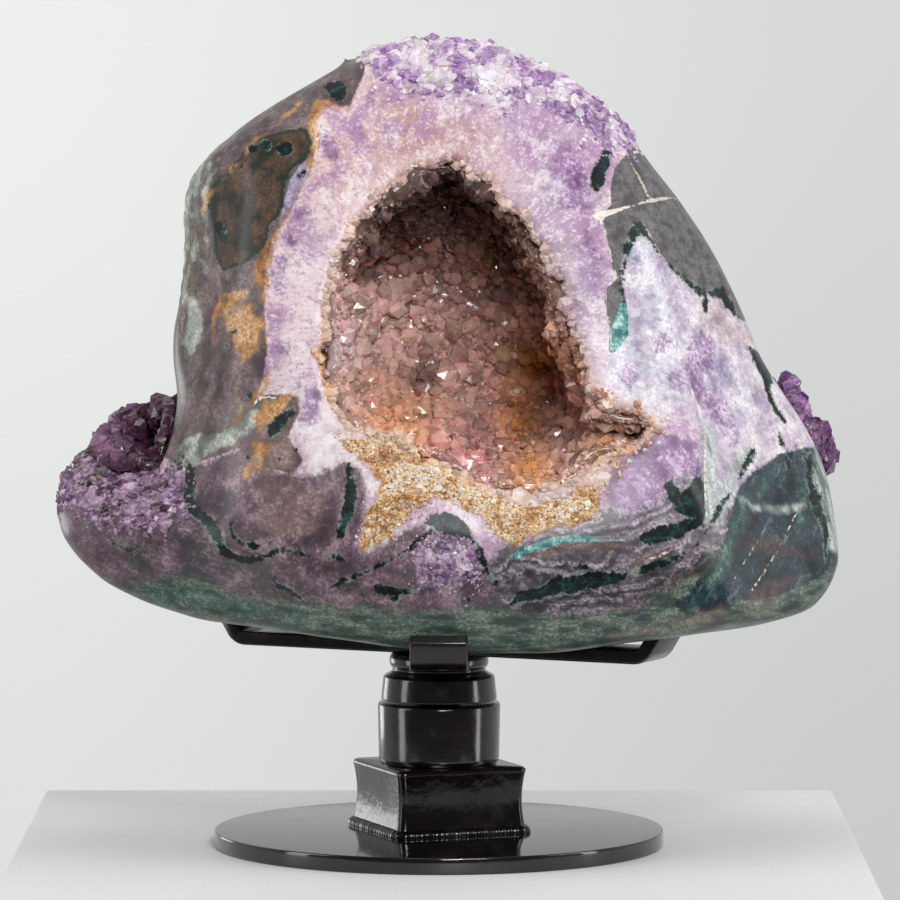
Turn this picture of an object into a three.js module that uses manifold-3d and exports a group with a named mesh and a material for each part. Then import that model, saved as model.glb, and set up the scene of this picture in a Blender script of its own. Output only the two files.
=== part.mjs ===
// An amethyst geode on a turntable stand. Millimetres, +Z up, the viewer looks along +Y.
// The origin is the middle of the stand's underside, on the swivel axis.
import * as THREE from "three";
import { mergeVertices } from "three/addons/utils/BufferGeometryUtils.js";
import Module from "manifold-3d";

const wasm = await Module();
wasm.setup();

// Driving dimensions of the stand
const PLATE_RADIUS = 176;
const PLATE_THICKNESS = 13;
const BLOCK_SIDE = 108.5;
const BLOCK_HEIGHT = 52;
const BLOCK_CORNER = 5;
const BLOCK_TURN = THREE.MathUtils.degToRad(21.5);
const BLOCK_PINCH = 3;
const HOUSING_RADIUS = 48;
const HOUSING_HEIGHT = 48;
const COLLAR_RADIUS = 45.5;
const COLLAR_HEIGHT = 19;
const SPINDLE_RADIUS = 16;
const SPINDLE_LENGTH = 36;
const SPINDLE_CLEARANCE = 0.6;
const SWIVEL_GAP = 1.8;
const NECK_RADIUS = 36;
const BEAD_RADIUS = 38.7;
const NECK_HEIGHT = 18.2;
const BAR_WIDTH = 44;
const BAR_THICKNESS = 11;
const BAR_TURN = THREE.MathUtils.degToRad(-26);
const BAR_REACH_RIGHT = 176;
const BAR_REACH_LEFT = 161;
const BAR_TIP = 23;
const ARM_TIP = 17;
const FRONT_ARM_REACH = 140;
const BACK_ARM_REACH = 104;
const TOUCH_GAP = 0.3;
const SLIVER = 0.15;
const ROUND_SIDES = 28;

// Heights that follow from the stand's sizes
const BLOCK_TOP = PLATE_THICKNESS + BLOCK_HEIGHT;
const HOUSING_TOP = BLOCK_TOP + HOUSING_HEIGHT;
const COLLAR_BOTTOM = HOUSING_TOP + SWIVEL_GAP;
const BAR_BOTTOM = COLLAR_BOTTOM + COLLAR_HEIGHT + NECK_HEIGHT;
const BAR_TOP = BAR_BOTTOM + BAR_THICKNESS;
const STONE_BOTTOM = BAR_TOP + TOUCH_GAP;

// Cross-sections of the main stone: height, left edge, right edge, front edge, back edge
const BODY_LEVELS = [
  [STONE_BOTTOM, -70, 130, -136, 92],
  [167, -118, 172, -147, 108],
  [173, -158, 226, -152, 122],
  [185, -202, 284, -157, 138],
  [200, -222, 302, -163, 148],
  [224, -230, 313, -170, 157],
  [255, -232, 309, -173, 162],
  [287, -228, 305, -170, 162],
  [318, -216, 293, -162, 158],
  [347, -204, 275, -153, 152],
  [381, -208, 252, -142, 144],
  [412, -207, 240, -132, 134],
  [443, -199, 226, -122, 122],
  [474, -199, 209, -112, 110],
  [505, -198, 188, -102, 98],
  [537, -183, 162, -89, 84],
  [568, -147, 139, -75, 68],
  [599, -96, 97, -57, 48],
  [617, -62, 58, -40, 34],
  [627, -30, 32, -22, 20],
];
const BODY_RINGS = 23;
const BODY_SIDES = 36;
const BODY_SQUARENESS = 2.5;

// The lobe at the stone's lower left. Its top slopes towards the viewer and carries a crystal pocket.
const LOBE_LEVELS = [
  [170, -150, -60, -60, 70],
  [178, -180, -60, -84, 88],
  [193, -228, -60, -106, 104],
  [208, -260, -60, -120, 114],
  [224, -279, -60, -128, 120],
  [246, -296, -60, -128, 124],
  [262, -300, -60, -114, 124],
  [276, -300, -60, -90, 122],
  [288, -297, -60, -66, 120],
  [301, -286, -70, -42, 116],
  [314, -266, -80, -18, 110],
  [325, -248, -90, 4, 104],
  [336, -227, -105, 26, 96],
  [347, -200, -120, 46, 86],
];
const LOBE_RINGS = 11;
const LOBE_SIDES = 22;
const LOBE_SQUARENESS = 2.3;

// The swelling at the back right, with a second crystal pocket
const SWELLING = { at: [236, 62, 294], size: [72, 74, 78] };

// Flats that were ground and polished: a point on the flat and the way it faces
const BODY_FLATS = [
  { at: [-178, -70, 402], facing: [-0.8, -0.57, 0.18] },
  { at: [182, -84, 432], facing: [0.72, -0.6, 0.34] },
];
const FRONT_FLAT = { at: [0, -150, 332], facing: [0.02, -0.955, 0.295] };
const WHOLE_FLATS = [
  FRONT_FLAT,
  { at: [262, -98, 242], facing: [0.66, -0.74, 0.05] },
  { at: [40, -152, 182], facing: [0.05, -0.9, -0.42] },
  { at: [-200, -87, 214], facing: [-0.42, -0.72, -0.55] },
  { at: [-100, 0, 165.4], facing: [-0.14, -0.1, -1] },
  { at: [200, 0, 166], facing: [0.13, -0.1, -1] },
];
const FLAT_CUTTER = 900;

// The mouth of the main hollow on the polished front: sideways place and height
const MOUTH = [
  [-7, 531], [14, 528], [28, 522], [47, 509], [62, 490], [81, 467], [90, 453],
  [96, 441], [104, 411], [111, 384], [120, 366], [121, 350], [125, 335],
  [124, 320], [117, 304], [92, 291], [62, 286], [24, 299], [-14, 317],
  [-44, 329], [-71, 336], [-79, 351], [-86, 370], [-89, 388], [-86, 411],
  [-87, 433], [-81, 456], [-68, 478], [-56, 497], [-41, 509], [-22, 524],
];
const MOUTH_CENTRE = [14, 404];
const HOLLOW_FRONT = -215;
const HOLLOW_BACK = 78;
const HOLLOW_SIDES = 28;
// From back to front: place, share of the mouth's size, and rise of the middle
const HOLLOW_LEVELS = [
  [78, 0.12, 12], [73, 0.36, 12], [60, 0.6, 13], [36, 0.82, 13], [4, 0.96, 12],
  [-36, 1.04, 9], [-76, 1.04, 4], [-112, 1, 0], [-215, 1, 0],
];
const CRUST_THICKNESS = 11;
const CRUST_FRONT_SET_BACK = 9;
// The cleft that runs on from the hollow's right side
const CLEFT = { at: [127, -124, 334], size: [37, 62, 17] };

// The crystal pockets, as bowls: middle, radii
const LEFT_POCKET = { at: [-229, 14, 313], size: [43, 62, 45] };
const RIGHT_POCKET = { at: [284, 66, 322], size: [33, 52, 46] };
const POCKET_CRUST = 8;
const POCKET_STAND_UP = 7;

// Turns a closed geometry into a solid that can be joined and cut
function solidOf(geometry) {
  const bare = geometry.index ? geometry.toNonIndexed() : geometry.clone();
  bare.deleteAttribute("normal");
  bare.deleteAttribute("uv");
  const merged = mergeVertices(bare, 1e-3);
  return new wasm.Manifold(
    new wasm.Mesh({
      numProp: 3,
      vertProperties: merged.attributes.position.array,
      triVerts: new Uint32Array(merged.index.array),
    }),
  );
}

// Turns a solid back into a geometry with flat-shaded faces
function geometryOf(solid) {
  const { numProp, numVert, vertProperties, triVerts } = solid.getMesh();
  const places = new Float32Array(numVert * 3);
  for (let i = 0; i < numVert; i++) {
    places.set(vertProperties.subarray(i * numProp, i * numProp + 3), i * 3);
  }
  const geometry = new THREE.BufferGeometry();
  geometry.setAttribute("position", new THREE.BufferAttribute(places, 3));
  geometry.setIndex(new THREE.BufferAttribute(new Uint32Array(triVerts), 1));
  geometry.computeVertexNormals();
  return geometry;
}

function joined(solids) {
  return solids.reduce((all, one) => all.add(one));
}

// The biggest body of a solid, without the chips that a cut left loose
function biggestOf(solid) {
  return solid.decompose().sort((a, b) => b.volume() - a.volume())[0];
}

// A repeatable stream of numbers from 0 to 1
function randomFrom(seed) {
  let state = seed;
  return () => {
    state = (state * 1664525 + 1013904223) % 4294967296;
    return state / 4294967296;
  };
}

// Smooth rolling lumps from -1 to 1, as on a natural skin
function lumps(x, y, z, wavelength) {
  const k = (2 * Math.PI) / wavelength;
  return (
    (Math.sin(k * (x + 0.6 * z) + 1.3) * Math.sin(k * (1.1 * y - 0.4 * x) + 0.4) +
      Math.sin(k * (0.9 * z + 0.5 * y) + 2.1) * Math.cos(k * (0.8 * x - 0.7 * z))) /
    2
  );
}

// The value of one column of a table at a place along its first column, on a smooth curve through the rows
function through(rows, place, column) {
  const last = rows.length - 1;
  let i = 0;
  while (i < last - 1 && rows[i + 1][0] < place) i++;
  const [p0, p1, p2, p3] = [i - 1, i, i + 1, i + 2].map(
    (n) => rows[Math.min(Math.max(n, 0), last)],
  );
  const span = p2[0] - p1[0];
  const t = Math.min(Math.max((place - p1[0]) / span, 0), 1);
  const slope = (a, b) => (b[0] === a[0] ? 0 : (b[column] - a[column]) / (b[0] - a[0]));
  const m1 = slope(p0, p2) * span;
  const m2 = slope(p1, p3) * span;
  const t2 = t * t;
  const t3 = t2 * t;
  return (
    (2 * t3 - 3 * t2 + 1) * p1[column] +
    (t3 - 2 * t2 + t) * m1 +
    (3 * t2 - 2 * t3) * p2[column] +
    (t3 - t2) * m2
  );
}

// A closed skin over rings of points, with a point at each end
function skinOver(rings) {
  const sides = rings[0].length;
  const places = rings.flat();
  const middleOf = (ring) =>
    ring.reduce((sum, p) => sum.map((s, k) => s + p[k] / sides), [0, 0, 0]);
  const first = places.length;
  places.push(middleOf(rings[0]), middleOf(rings.at(-1)));
  const faces = [];
  for (let i = 0; i < sides; i++) {
    const next = (i + 1) % sides;
    faces.push(first, next, i);
    const top = (rings.length - 1) * sides;
    faces.push(first + 1, top + i, top + next);
    for (let r = 0; r < rings.length - 1; r++) {
      const a = r * sides;
      const b = a + sides;
      faces.push(a + i, a + next, b + next, a + i, b + next, b + i);
    }
  }
  const geometry = new THREE.BufferGeometry();
  geometry.setAttribute("position", new THREE.Float32BufferAttribute(places.flat(), 3));
  geometry.setIndex(faces);
  return solidOf(geometry);
}

// A point of a stone blank's skin at a height and a turn. The back half has the lumps of the natural skin.
function skinPoint(levels, squareness, z, turn) {
  const bottom = levels[0][0];
  const top = levels.at(-1)[0];
  const [left, right, front, back] = [1, 2, 3, 4].map((c) => through(levels, z, c));
  const power = 2 / squareness;
  const across = Math.sign(Math.cos(turn)) * Math.abs(Math.cos(turn)) ** power;
  const along = Math.sign(Math.sin(turn)) * Math.abs(Math.sin(turn)) ** power;
  const x = (left + right) / 2 + ((right - left) / 2) * across;
  const y = (front + back) / 2 + ((back - front) / 2) * along;
  const skin = Math.max(0, along) * Math.sin((Math.PI * (z - bottom)) / (top - bottom));
  const swell = skin * (9 * lumps(x, y, z, 104) + 5 * lumps(z, x, y, 61));
  return [x + swell * 0.2 * across, y + swell, z];
}

// A stone blank from its table of levels
function blankFrom(levels, rings, sides, squareness) {
  const bottom = levels[0][0];
  const top = levels.at(-1)[0];
  return skinOver(
    Array.from({ length: rings + 1 }, (_, r) => {
      const even = r / rings;
      const share = 0.55 * even + 0.45 * (1 - Math.cos(Math.PI * even)) / 2;
      const z = bottom + (top - bottom) * share;
      return Array.from({ length: sides }, (_, s) =>
        skinPoint(levels, squareness, z, (2 * Math.PI * s) / sides),
      );
    }),
  );
}

// A lumpy ball with its own radius along each axis
function lumpyBall({ at, size }, detail, lumpiness = 0.05, grow = 0) {
  const geometry = new THREE.IcosahedronGeometry(1, detail);
  const places = geometry.attributes.position;
  for (let i = 0; i < places.count; i++) {
    const p = [places.getX(i), places.getY(i), places.getZ(i)];
    const swell = 1 + lumpiness * lumps(p[0], p[1], p[2], 1.3);
    places.setXYZ(i, ...p.map((v, k) => at[k] + v * (size[k] + grow) * swell));
  }
  return solidOf(geometry);
}

// The block of space that a polished flat takes off
function flatCutter({ at, facing }) {
  const way = new THREE.Vector3(...facing).normalize();
  const geometry = new THREE.BoxGeometry(FLAT_CUTTER, FLAT_CUTTER, FLAT_CUTTER);
  const turn = new THREE.Quaternion().setFromUnitVectors(new THREE.Vector3(0, 0, 1), way);
  geometry.applyQuaternion(turn);
  geometry.translate(...way.multiplyScalar(FLAT_CUTTER / 2).toArray());
  geometry.translate(...at);
  return solidOf(geometry);
}

// How far the mouth's edge is from its centre, in the direction of a turn
const mouthEdge = MOUTH.map(([x, z]) => {
  const across = x - MOUTH_CENTRE[0];
  const up = z - MOUTH_CENTRE[1];
  return [Math.atan2(up, across), Math.hypot(across, up)];
}).sort((a, b) => a[0] - b[0]);
const roundMouth = [
  ...mouthEdge.slice(-2).map(([turn, reach]) => [turn - 2 * Math.PI, reach]),
  ...mouthEdge,
  ...mouthEdge.slice(0, 2).map(([turn, reach]) => [turn + 2 * Math.PI, reach]),
];

// A point of the hollow's wall at a depth and a turn, taken in by some distance
function hollowPoint(y, turn, inset) {
  const frontFirst = HOLLOW_LEVELS.toReversed();
  const bare = through(roundMouth, turn, 1) * through(frontFirst, y, 1);
  const x = Math.cos(turn);
  const z = Math.sin(turn);
  const depth = Math.max(0, (y + 110) / (HOLLOW_BACK + 110));
  const swell = 1 + 0.08 * depth * lumps(bare * x, y, bare * z, 92);
  const reach = Math.max(bare * swell - inset, 2);
  return [MOUTH_CENTRE[0] + reach * x, y, MOUTH_CENTRE[1] + through(frontFirst, y, 2) + reach * z];
}

// The space of the main hollow, taken in by some distance all round
function hollowSpace(inset) {
  const walls = skinOver(
    HOLLOW_LEVELS.map(([y], r) =>
      Array.from({ length: HOLLOW_SIDES }, (_, s) => {
        const turn = (2 * Math.PI * s) / HOLLOW_SIDES - Math.PI;
        const [x, , z] = hollowPoint(y, turn, inset);
        return [x, y - (r === 0 ? inset : 0), z];
      }),
    ),
  );
  return walls.add(lumpyBall(CLEFT, 2, 0.04, -inset));
}

// The space inside the crust, whose wall is jagged with crystal faces
function jaggedSpace(nearest, farthest) {
  const random = randomFrom(31);
  const depths = [66, 66, 64, 54, 36, 14, -10, -36, -62, -88, -114, -138, -215];
  const spreads = [0.3, 0.68];
  const sides = 24;
  const walls = skinOver(
    depths.map((depth, r) =>
      Array.from({ length: sides }, (_, s) => {
        const turn = (2 * Math.PI * (s + 0.5 * (r % 2) + 0.3 * (random() - 0.5))) / sides - Math.PI;
        const inset = nearest + (farthest - nearest) * random();
        const [x, y, z] = hollowPoint(depth, turn, inset);
        const spread = spreads[r] ?? 1;
        const middle = MOUTH_CENTRE[1] + 12 * (1 - spread);
        return [
          MOUTH_CENTRE[0] + (x - MOUTH_CENTRE[0]) * spread,
          y - 9 * random(),
          middle + (z - MOUTH_CENTRE[1]) * spread,
        ];
      }),
    ),
  );
  return walls.add(lumpyBall(CLEFT, 1, 0.04, -nearest));
}

// A six-sided crystal that widens from its foot and ends in a point
function crystal(place, way, radius, length) {
  const profile = [
    [0, -1.3 * radius],
    [radius, length - 1.1 * radius],
    [0, length],
  ].map(([x, y]) => new THREE.Vector2(x, y));
  const geometry = new THREE.LatheGeometry(profile, 6);
  const turn = new THREE.Quaternion().setFromUnitVectors(
    new THREE.Vector3(0, 1, 0),
    new THREE.Vector3(...way).normalize(),
  );
  geometry.applyQuaternion(turn);
  geometry.translate(...place);
  return solidOf(geometry);
}

// Crystals that grow from the inside of a hollow towards its middle line
function hollowCrystals() {
  const random = randomFrom(7);
  const crystals = [];
  for (const y of [-118, -76, -34, 8, 44, 64]) {
    const scale = through(HOLLOW_LEVELS.toReversed(), y, 1);
    const around = Math.round(7 * scale);
    for (let n = 0; n < around; n++) {
      const turn = (2 * Math.PI * (n + random() * 0.7)) / around - Math.PI;
      const place = hollowPoint(y - 6, turn, CRUST_THICKNESS);
      const lean = y > 40 ? 2.5 : 0.35 + (y + 124) / 300;
      const way = [
        -Math.cos(turn) + 0.5 * (random() - 0.5),
        -lean,
        -Math.sin(turn) + 0.5 * (random() - 0.5),
      ];
      crystals.push(crystal(place, way, 9 + 5 * random(), 13 + 7 * random()));
    }
  }
  return crystals;
}

// Crystals on the inside of a bowl-shaped pocket, over the part of it that a test keeps
function pocketCrystals({ at, size }, seed, count, radius, keep) {
  const random = randomFrom(seed);
  const golden = Math.PI * (3 - Math.sqrt(5));
  const crystals = [];
  for (let n = 0; n < count; n++) {
    const z = 1 - (2 * (n + 0.5)) / count;
    const flat = Math.sqrt(1 - z * z);
    const out = [flat * Math.cos(golden * n), flat * Math.sin(golden * n), z];
    if (!keep(out)) continue;
    const place = out.map((v, k) => at[k] + v * (size[k] - POCKET_CRUST + 1));
    const way = out.map((v) => -v + 0.35 * (random() - 0.5));
    crystals.push(crystal(place, way, radius * (0.8 + 0.5 * random()), radius * 1.9));
  }
  return crystals;
}

// Crystals that stand on the stone's broken crown
function crownCrystals() {
  const random = randomFrom(23);
  const golden = Math.PI * (3 - Math.sqrt(5));
  const count = 38;
  const crystals = [];
  for (let n = 0; n < count; n++) {
    const turn = golden * n;
    const down = n / count;
    const z = 626 - 62 * down * down + 2 * (random() - 0.5);
    const inwards = n < 9 ? 0.2 + 0.09 * n : 1;
    if (Math.sin(turn) < -0.35 && z < 606) continue;
    if (Math.cos(turn) < -0.5 && z < 600) continue;
    const [x, y] = skinPoint(BODY_LEVELS, BODY_SQUARENESS, z, turn);
    const out = [Math.cos(turn) * down, Math.sin(turn) * down, 1.3 - down];
    const way = out.map((v) => v + 0.5 * (random() - 0.5));
    const radius = 10 + 5 * random();
    crystals.push(crystal([x * inwards, y * inwards, z - 3], way, radius, radius * 0.8));
  }
  return crystals;
}

const mainHollow = hollowSpace(0);
const leftPocket = lumpyBall(LEFT_POCKET, 2);
const rightPocket = lumpyBall(RIGHT_POCKET, 2);

// The whole stone before anything is hollowed out of it
function makeBlank() {
  let body = blankFrom(BODY_LEVELS, BODY_RINGS, BODY_SIDES, BODY_SQUARENESS);
  for (const flat of BODY_FLATS) body = body.subtract(flatCutter(flat));
  const lobe = blankFrom(LOBE_LEVELS, LOBE_RINGS, LOBE_SIDES, LOBE_SQUARENESS);
  let blank = joined([body, lobe, lumpyBall(SWELLING, 3)]);
  for (const flat of WHOLE_FLATS) blank = blank.subtract(flatCutter(flat));
  return blank;
}

// The layer of crystals that lines the main hollow
function makeHollowCrust() {
  const space = hollowSpace(TOUCH_GAP);
  const lining = space.subtract(jaggedSpace(CRUST_THICKNESS - 3, CRUST_THICKNESS + 6));
  const front = flatCutter({
    at: [0, FRONT_FLAT.at[1] + CRUST_FRONT_SET_BACK, FRONT_FLAT.at[2]],
    facing: FRONT_FLAT.facing,
  });
  const crust = joined([lining, ...hollowCrystals()]).intersect(space).subtract(front);
  return biggestOf(crust).simplify(SLIVER);
}

// The layer of crystals that lines a pocket and stands a little above the skin round it
function makePocketCrust(pocket, crystals, standUp) {
  const space = lumpyBall(pocket, 2, 0.05, -TOUCH_GAP);
  const lining = space.subtract(lumpyBall(pocket, 1, 0.05, -POCKET_CRUST));
  const raisedBlank = blank.translate(standUp);
  const crust = joined([lining, ...crystals]).intersect(space).intersect(raisedBlank);
  return biggestOf(crust).simplify(SLIVER);
}

const blank = makeBlank();
const stone = joined([blank, ...crownCrystals()])
  .subtract(mainHollow)
  .subtract(leftPocket)
  .subtract(rightPocket)
  .simplify(SLIVER);
const hollowCrust = makeHollowCrust();
const leftCrust = makePocketCrust(
  LEFT_POCKET,
  pocketCrystals(LEFT_POCKET, 11, 18, 13, ([x, y, z]) => z < 0.35 - 0.2 * x + 0.6 * y),
  [0, 0, POCKET_STAND_UP],
);
const rightCrust = makePocketCrust(
  RIGHT_POCKET,
  pocketCrystals(RIGHT_POCKET, 5, 14, 13, ([x, , z]) => 0.8 * x + 0.5 * z < 0.3),
  [POCKET_STAND_UP * 0.6, 0, POCKET_STAND_UP * 0.6],
);

// The stand's round base plate, with a small chamfer round its top edge
function makePlate() {
  const chamfer = 1.2;
  const profile = [
    [0, 0],
    [PLATE_RADIUS, 0],
    [PLATE_RADIUS, PLATE_THICKNESS - chamfer],
    [PLATE_RADIUS - chamfer, PLATE_THICKNESS],
    [0, PLATE_THICKNESS],
  ];
  return turned(profile, 48);
}

// A solid turned about the swivel axis from a profile of radius and height
function turned(profile, sides = ROUND_SIDES) {
  const points = profile.map(([radius, height]) => new THREE.Vector2(radius, height));
  const geometry = new THREE.LatheGeometry(points, sides);
  geometry.rotateX(Math.PI / 2);
  return geometry;
}

// The block under the housing: a thick square tube whose walls are pinched in and whose lips roll out
function makeBlock() {
  const rows = 8;
  const rings = Array.from({ length: rows + 1 }, (_, r) => {
    const share = r / rows;
    const pinch = BLOCK_PINCH * Math.sin(Math.PI * share) ** 0.8;
    const roll = r === 0 || r === rows ? 1 : 0;
    const half = BLOCK_SIDE / 2 - pinch - roll;
    const corner = BLOCK_CORNER;
    const z = PLATE_THICKNESS + BLOCK_HEIGHT * share;
    return Array.from({ length: 16 }, (_, s) => {
      const quarter = Math.floor(s / 4);
      const bend = ((s % 4) / 3) * (Math.PI / 2) + (quarter * Math.PI) / 2;
      const [cx, cy] = [[1, 1], [-1, 1], [-1, -1], [1, -1]][quarter];
      const x = cx * (half - corner) + corner * Math.cos(bend);
      const y = cy * (half - corner) + corner * Math.sin(bend);
      const cos = Math.cos(BLOCK_TURN);
      const sin = Math.sin(BLOCK_TURN);
      return [x * cos - y * sin, x * sin + y * cos, z];
    });
  });
  return geometryOf(skinOver(rings));
}

// The bearing housing, with the blind bore that the spindle turns in
function makeHousing() {
  const bore = SPINDLE_RADIUS + SPINDLE_CLEARANCE;
  const floor = HOUSING_TOP - SPINDLE_LENGTH - 2;
  const bevel = 4;
  return turned([
    [0, BLOCK_TOP],
    [HOUSING_RADIUS - bevel, BLOCK_TOP],
    [HOUSING_RADIUS - 0.6, BLOCK_TOP + bevel],
    [HOUSING_RADIUS, HOUSING_TOP - 1],
    [HOUSING_RADIUS - 1, HOUSING_TOP],
    [bore, HOUSING_TOP],
    [bore, floor],
    [0, floor],
  ]);
}

// The collar that turns on the housing, with its spindle below and the beaded neck above
function makeCollar() {
  const shoulder = COLLAR_BOTTOM + COLLAR_HEIGHT;
  const top = BAR_BOTTOM - TOUCH_GAP;
  return turned([
    [0, HOUSING_TOP - SPINDLE_LENGTH],
    [SPINDLE_RADIUS, HOUSING_TOP - SPINDLE_LENGTH],
    [SPINDLE_RADIUS, COLLAR_BOTTOM],
    [COLLAR_RADIUS - 1, COLLAR_BOTTOM],
    [COLLAR_RADIUS, COLLAR_BOTTOM + 1],
    [COLLAR_RADIUS - 2, shoulder],
    [NECK_RADIUS + 1.8, shoulder + 3],
    [NECK_RADIUS, shoulder + 5],
    [BEAD_RADIUS, shoulder + 10],
    [BEAD_RADIUS, shoulder + 13],
    [BEAD_RADIUS - 1.8, top],
    [0, top],
  ]);
}

// Points along the underside and top of a flat bar that runs out from the swivel axis and bends up at its end
function bentEnd(reach, tip) {
  const rise = THREE.MathUtils.degToRad(59);
  const bendRadius = 7;
  const outer = [];
  const inner = [];
  for (let n = 0; n <= 4; n++) {
    const turn = (rise * n) / 4;
    const far = bendRadius + BAR_THICKNESS;
    const centre = [reach, BAR_TOP + bendRadius];
    outer.push([centre[0] + far * Math.sin(turn), centre[1] - far * Math.cos(turn)]);
    inner.push([centre[0] + bendRadius * Math.sin(turn), centre[1] - bendRadius * Math.cos(turn)]);
  }
  const along = [tip * Math.cos(rise), tip * Math.sin(rise)];
  outer.push(outer.at(-1).map((v, k) => v + along[k]));
  inner.push(inner.at(-1).map((v, k) => v + along[k]));
  return { outer, inner };
}

// A bar of the cradle, drawn from the side and extruded across its width. It has one bent end or two.
function makeBar(startAt, tip, reach, otherReach) {
  const { outer, inner } = bentEnd(reach, tip);
  const other = otherReach ? bentEnd(otherReach, tip) : null;
  const mirrored = (points) => points.map(([x, z]) => [-x, z]).reverse();
  const underside = [...(other ? mirrored(other.outer) : [[startAt, BAR_BOTTOM]]), ...outer];
  const topside = [...(other ? mirrored(other.inner) : [[startAt, BAR_TOP]]), ...inner];
  const outline = new THREE.Shape(
    [...underside, ...topside.reverse()].map(([x, z]) => new THREE.Vector2(x, z)),
  );
  const geometry = new THREE.ExtrudeGeometry(outline, { depth: BAR_WIDTH, bevelEnabled: false });
  geometry.translate(0, 0, -BAR_WIDTH / 2);
  geometry.rotateX(Math.PI / 2);
  return geometry;
}

// What is left of a bar beneath the stone, a touch clear of it
function fittedUnderStone(geometry) {
  return geometryOf(solidOf(geometry).subtract(stone.translate([0, 0, -TOUCH_GAP])));
}

const FINISHES = {
  stone: new THREE.MeshStandardMaterial({ color: 0x9a8a9c, roughness: 0.3, metalness: 0 }),
  hollow: new THREE.MeshStandardMaterial({ color: 0xa98a84, roughness: 0.25, metalness: 0 }),
  amethyst: new THREE.MeshStandardMaterial({ color: 0x4f2c5c, roughness: 0.15, metalness: 0 }),
  steel: new THREE.MeshStandardMaterial({ color: 0x17131a, roughness: 0.35, metalness: 0.2 }),
};

const geode = new THREE.Group();

function place(name, geometry, finish, parent = geode) {
  const mesh = new THREE.Mesh(geometry, FINISHES[finish]);
  mesh.name = name;
  parent.add(mesh);
  return mesh;
}

// The standing part
place("base_plate", makePlate(), "steel");
place("pinched_block", makeBlock(), "steel");
place("bearing_housing", makeHousing(), "steel");

// The turning part
const turntable = new THREE.Group();
geode.add(turntable);
place("swivel_collar", makeCollar(), "steel", turntable);

const longBar = makeBar(0, BAR_TIP, BAR_REACH_RIGHT, BAR_REACH_LEFT);
longBar.rotateZ(BAR_TURN);
place("cradle_bar", fittedUnderStone(longBar), "steel", turntable);

// The front and back arms start where they meet the side of the long bar
const armStart = BAR_WIDTH / 2 / Math.cos(BAR_TURN) + (BAR_WIDTH / 2) * Math.tan(-BAR_TURN) + TOUCH_GAP;
const frontArm = makeBar(armStart, ARM_TIP, FRONT_ARM_REACH);
frontArm.rotateZ(-Math.PI / 2);
place("front_arm", fittedUnderStone(frontArm), "steel", turntable);
const backArm = makeBar(armStart, ARM_TIP, BACK_ARM_REACH);
backArm.rotateZ(Math.PI / 2);
place("back_arm", fittedUnderStone(backArm), "steel", turntable);

place("geode_stone", geometryOf(stone), "stone", turntable);
place("hollow_crystals", geometryOf(hollowCrust), "hollow", turntable);
place("left_pocket_crystals", geometryOf(leftCrust), "amethyst", turntable);
place("right_pocket_crystals", geometryOf(rightCrust), "amethyst", turntable);

export default geode;
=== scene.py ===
# %% [markdown]
# # A polished amethyst geode that turns on a steel stand
# The real object is one natural stone, about 60 cm across. Its front is ground and polished, so the bands
# of basalt, agate and amethyst show like a map. A deep hollow lined with quartz crystals opens in the
# middle. The stone rests in a cradle of bent flat bars, on a swivel, on a heavy round plate. Each piece
# below is made over the solid of the same part, which is loaded first and never moved.

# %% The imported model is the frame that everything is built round
import math

import bpy
import bmesh
import numpy as np
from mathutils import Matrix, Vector, noise
from mathutils.bvhtree import BVHTree


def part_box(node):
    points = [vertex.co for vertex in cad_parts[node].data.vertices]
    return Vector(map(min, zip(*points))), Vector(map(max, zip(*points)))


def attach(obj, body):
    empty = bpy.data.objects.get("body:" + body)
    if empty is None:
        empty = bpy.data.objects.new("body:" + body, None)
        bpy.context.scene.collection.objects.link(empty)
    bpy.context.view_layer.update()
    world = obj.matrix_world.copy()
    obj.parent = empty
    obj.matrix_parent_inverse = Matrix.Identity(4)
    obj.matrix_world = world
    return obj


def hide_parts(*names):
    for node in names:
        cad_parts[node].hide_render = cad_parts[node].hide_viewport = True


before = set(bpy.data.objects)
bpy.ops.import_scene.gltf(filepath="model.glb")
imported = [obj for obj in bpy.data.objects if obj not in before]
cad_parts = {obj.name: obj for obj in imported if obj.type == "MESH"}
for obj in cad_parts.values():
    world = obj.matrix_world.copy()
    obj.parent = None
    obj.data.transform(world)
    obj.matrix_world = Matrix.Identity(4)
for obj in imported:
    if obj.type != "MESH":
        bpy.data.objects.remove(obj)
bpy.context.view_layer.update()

MM = 0.001
print("solids:", ", ".join(sorted(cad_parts)))

# %% [markdown]
# ## The camera
# A long lens from almost five metres keeps the stone's shape free of strong perspective, as in a catalogue.
# The same eye point is used later to lay the stone's markings on its front, so its place is kept as a
# value.

# %% Camera
EYE = np.array([0.0086, -4.910, 0.658])
LOOKS_DOWN = math.radians(4.05)
LENS_MM = 252
SENSOR_MM = 36
PICTURE_SIDE = 900

camera_data = bpy.data.cameras.new("camera")
camera_data.lens = LENS_MM
camera_data.sensor_width = SENSOR_MM
camera_data.clip_start = 0.1
camera_data.clip_end = 60
camera = bpy.data.objects.new("camera", camera_data)
camera.location = EYE
camera.rotation_euler = (math.pi / 2 - LOOKS_DOWN, 0, 0)
bpy.context.scene.collection.objects.link(camera)
bpy.context.scene.camera = camera
print("the lens sees", round(math.degrees(2 * math.atan(SENSOR_MM / 2 / LENS_MM)), 1), "degrees")

# %% [markdown]
# ## Small tools for node trees
# Every finish below is a tree of nodes. Short helpers set a node's sockets, make a node, mix two colours and
# do sums, so that the recipes can be read from top to bottom.

# %% Helpers for node trees
def colour(red, green, blue):
    """A colour as a paint chart gives it, 0 to 255, as the linear numbers that a shader wants."""
    shares = [part / 255 for part in (red, green, blue)]
    return tuple(s / 12.92 if s < 0.04045 else ((s + 0.055) / 1.055) ** 2.4 for s in shares) + (1.0,)


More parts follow.
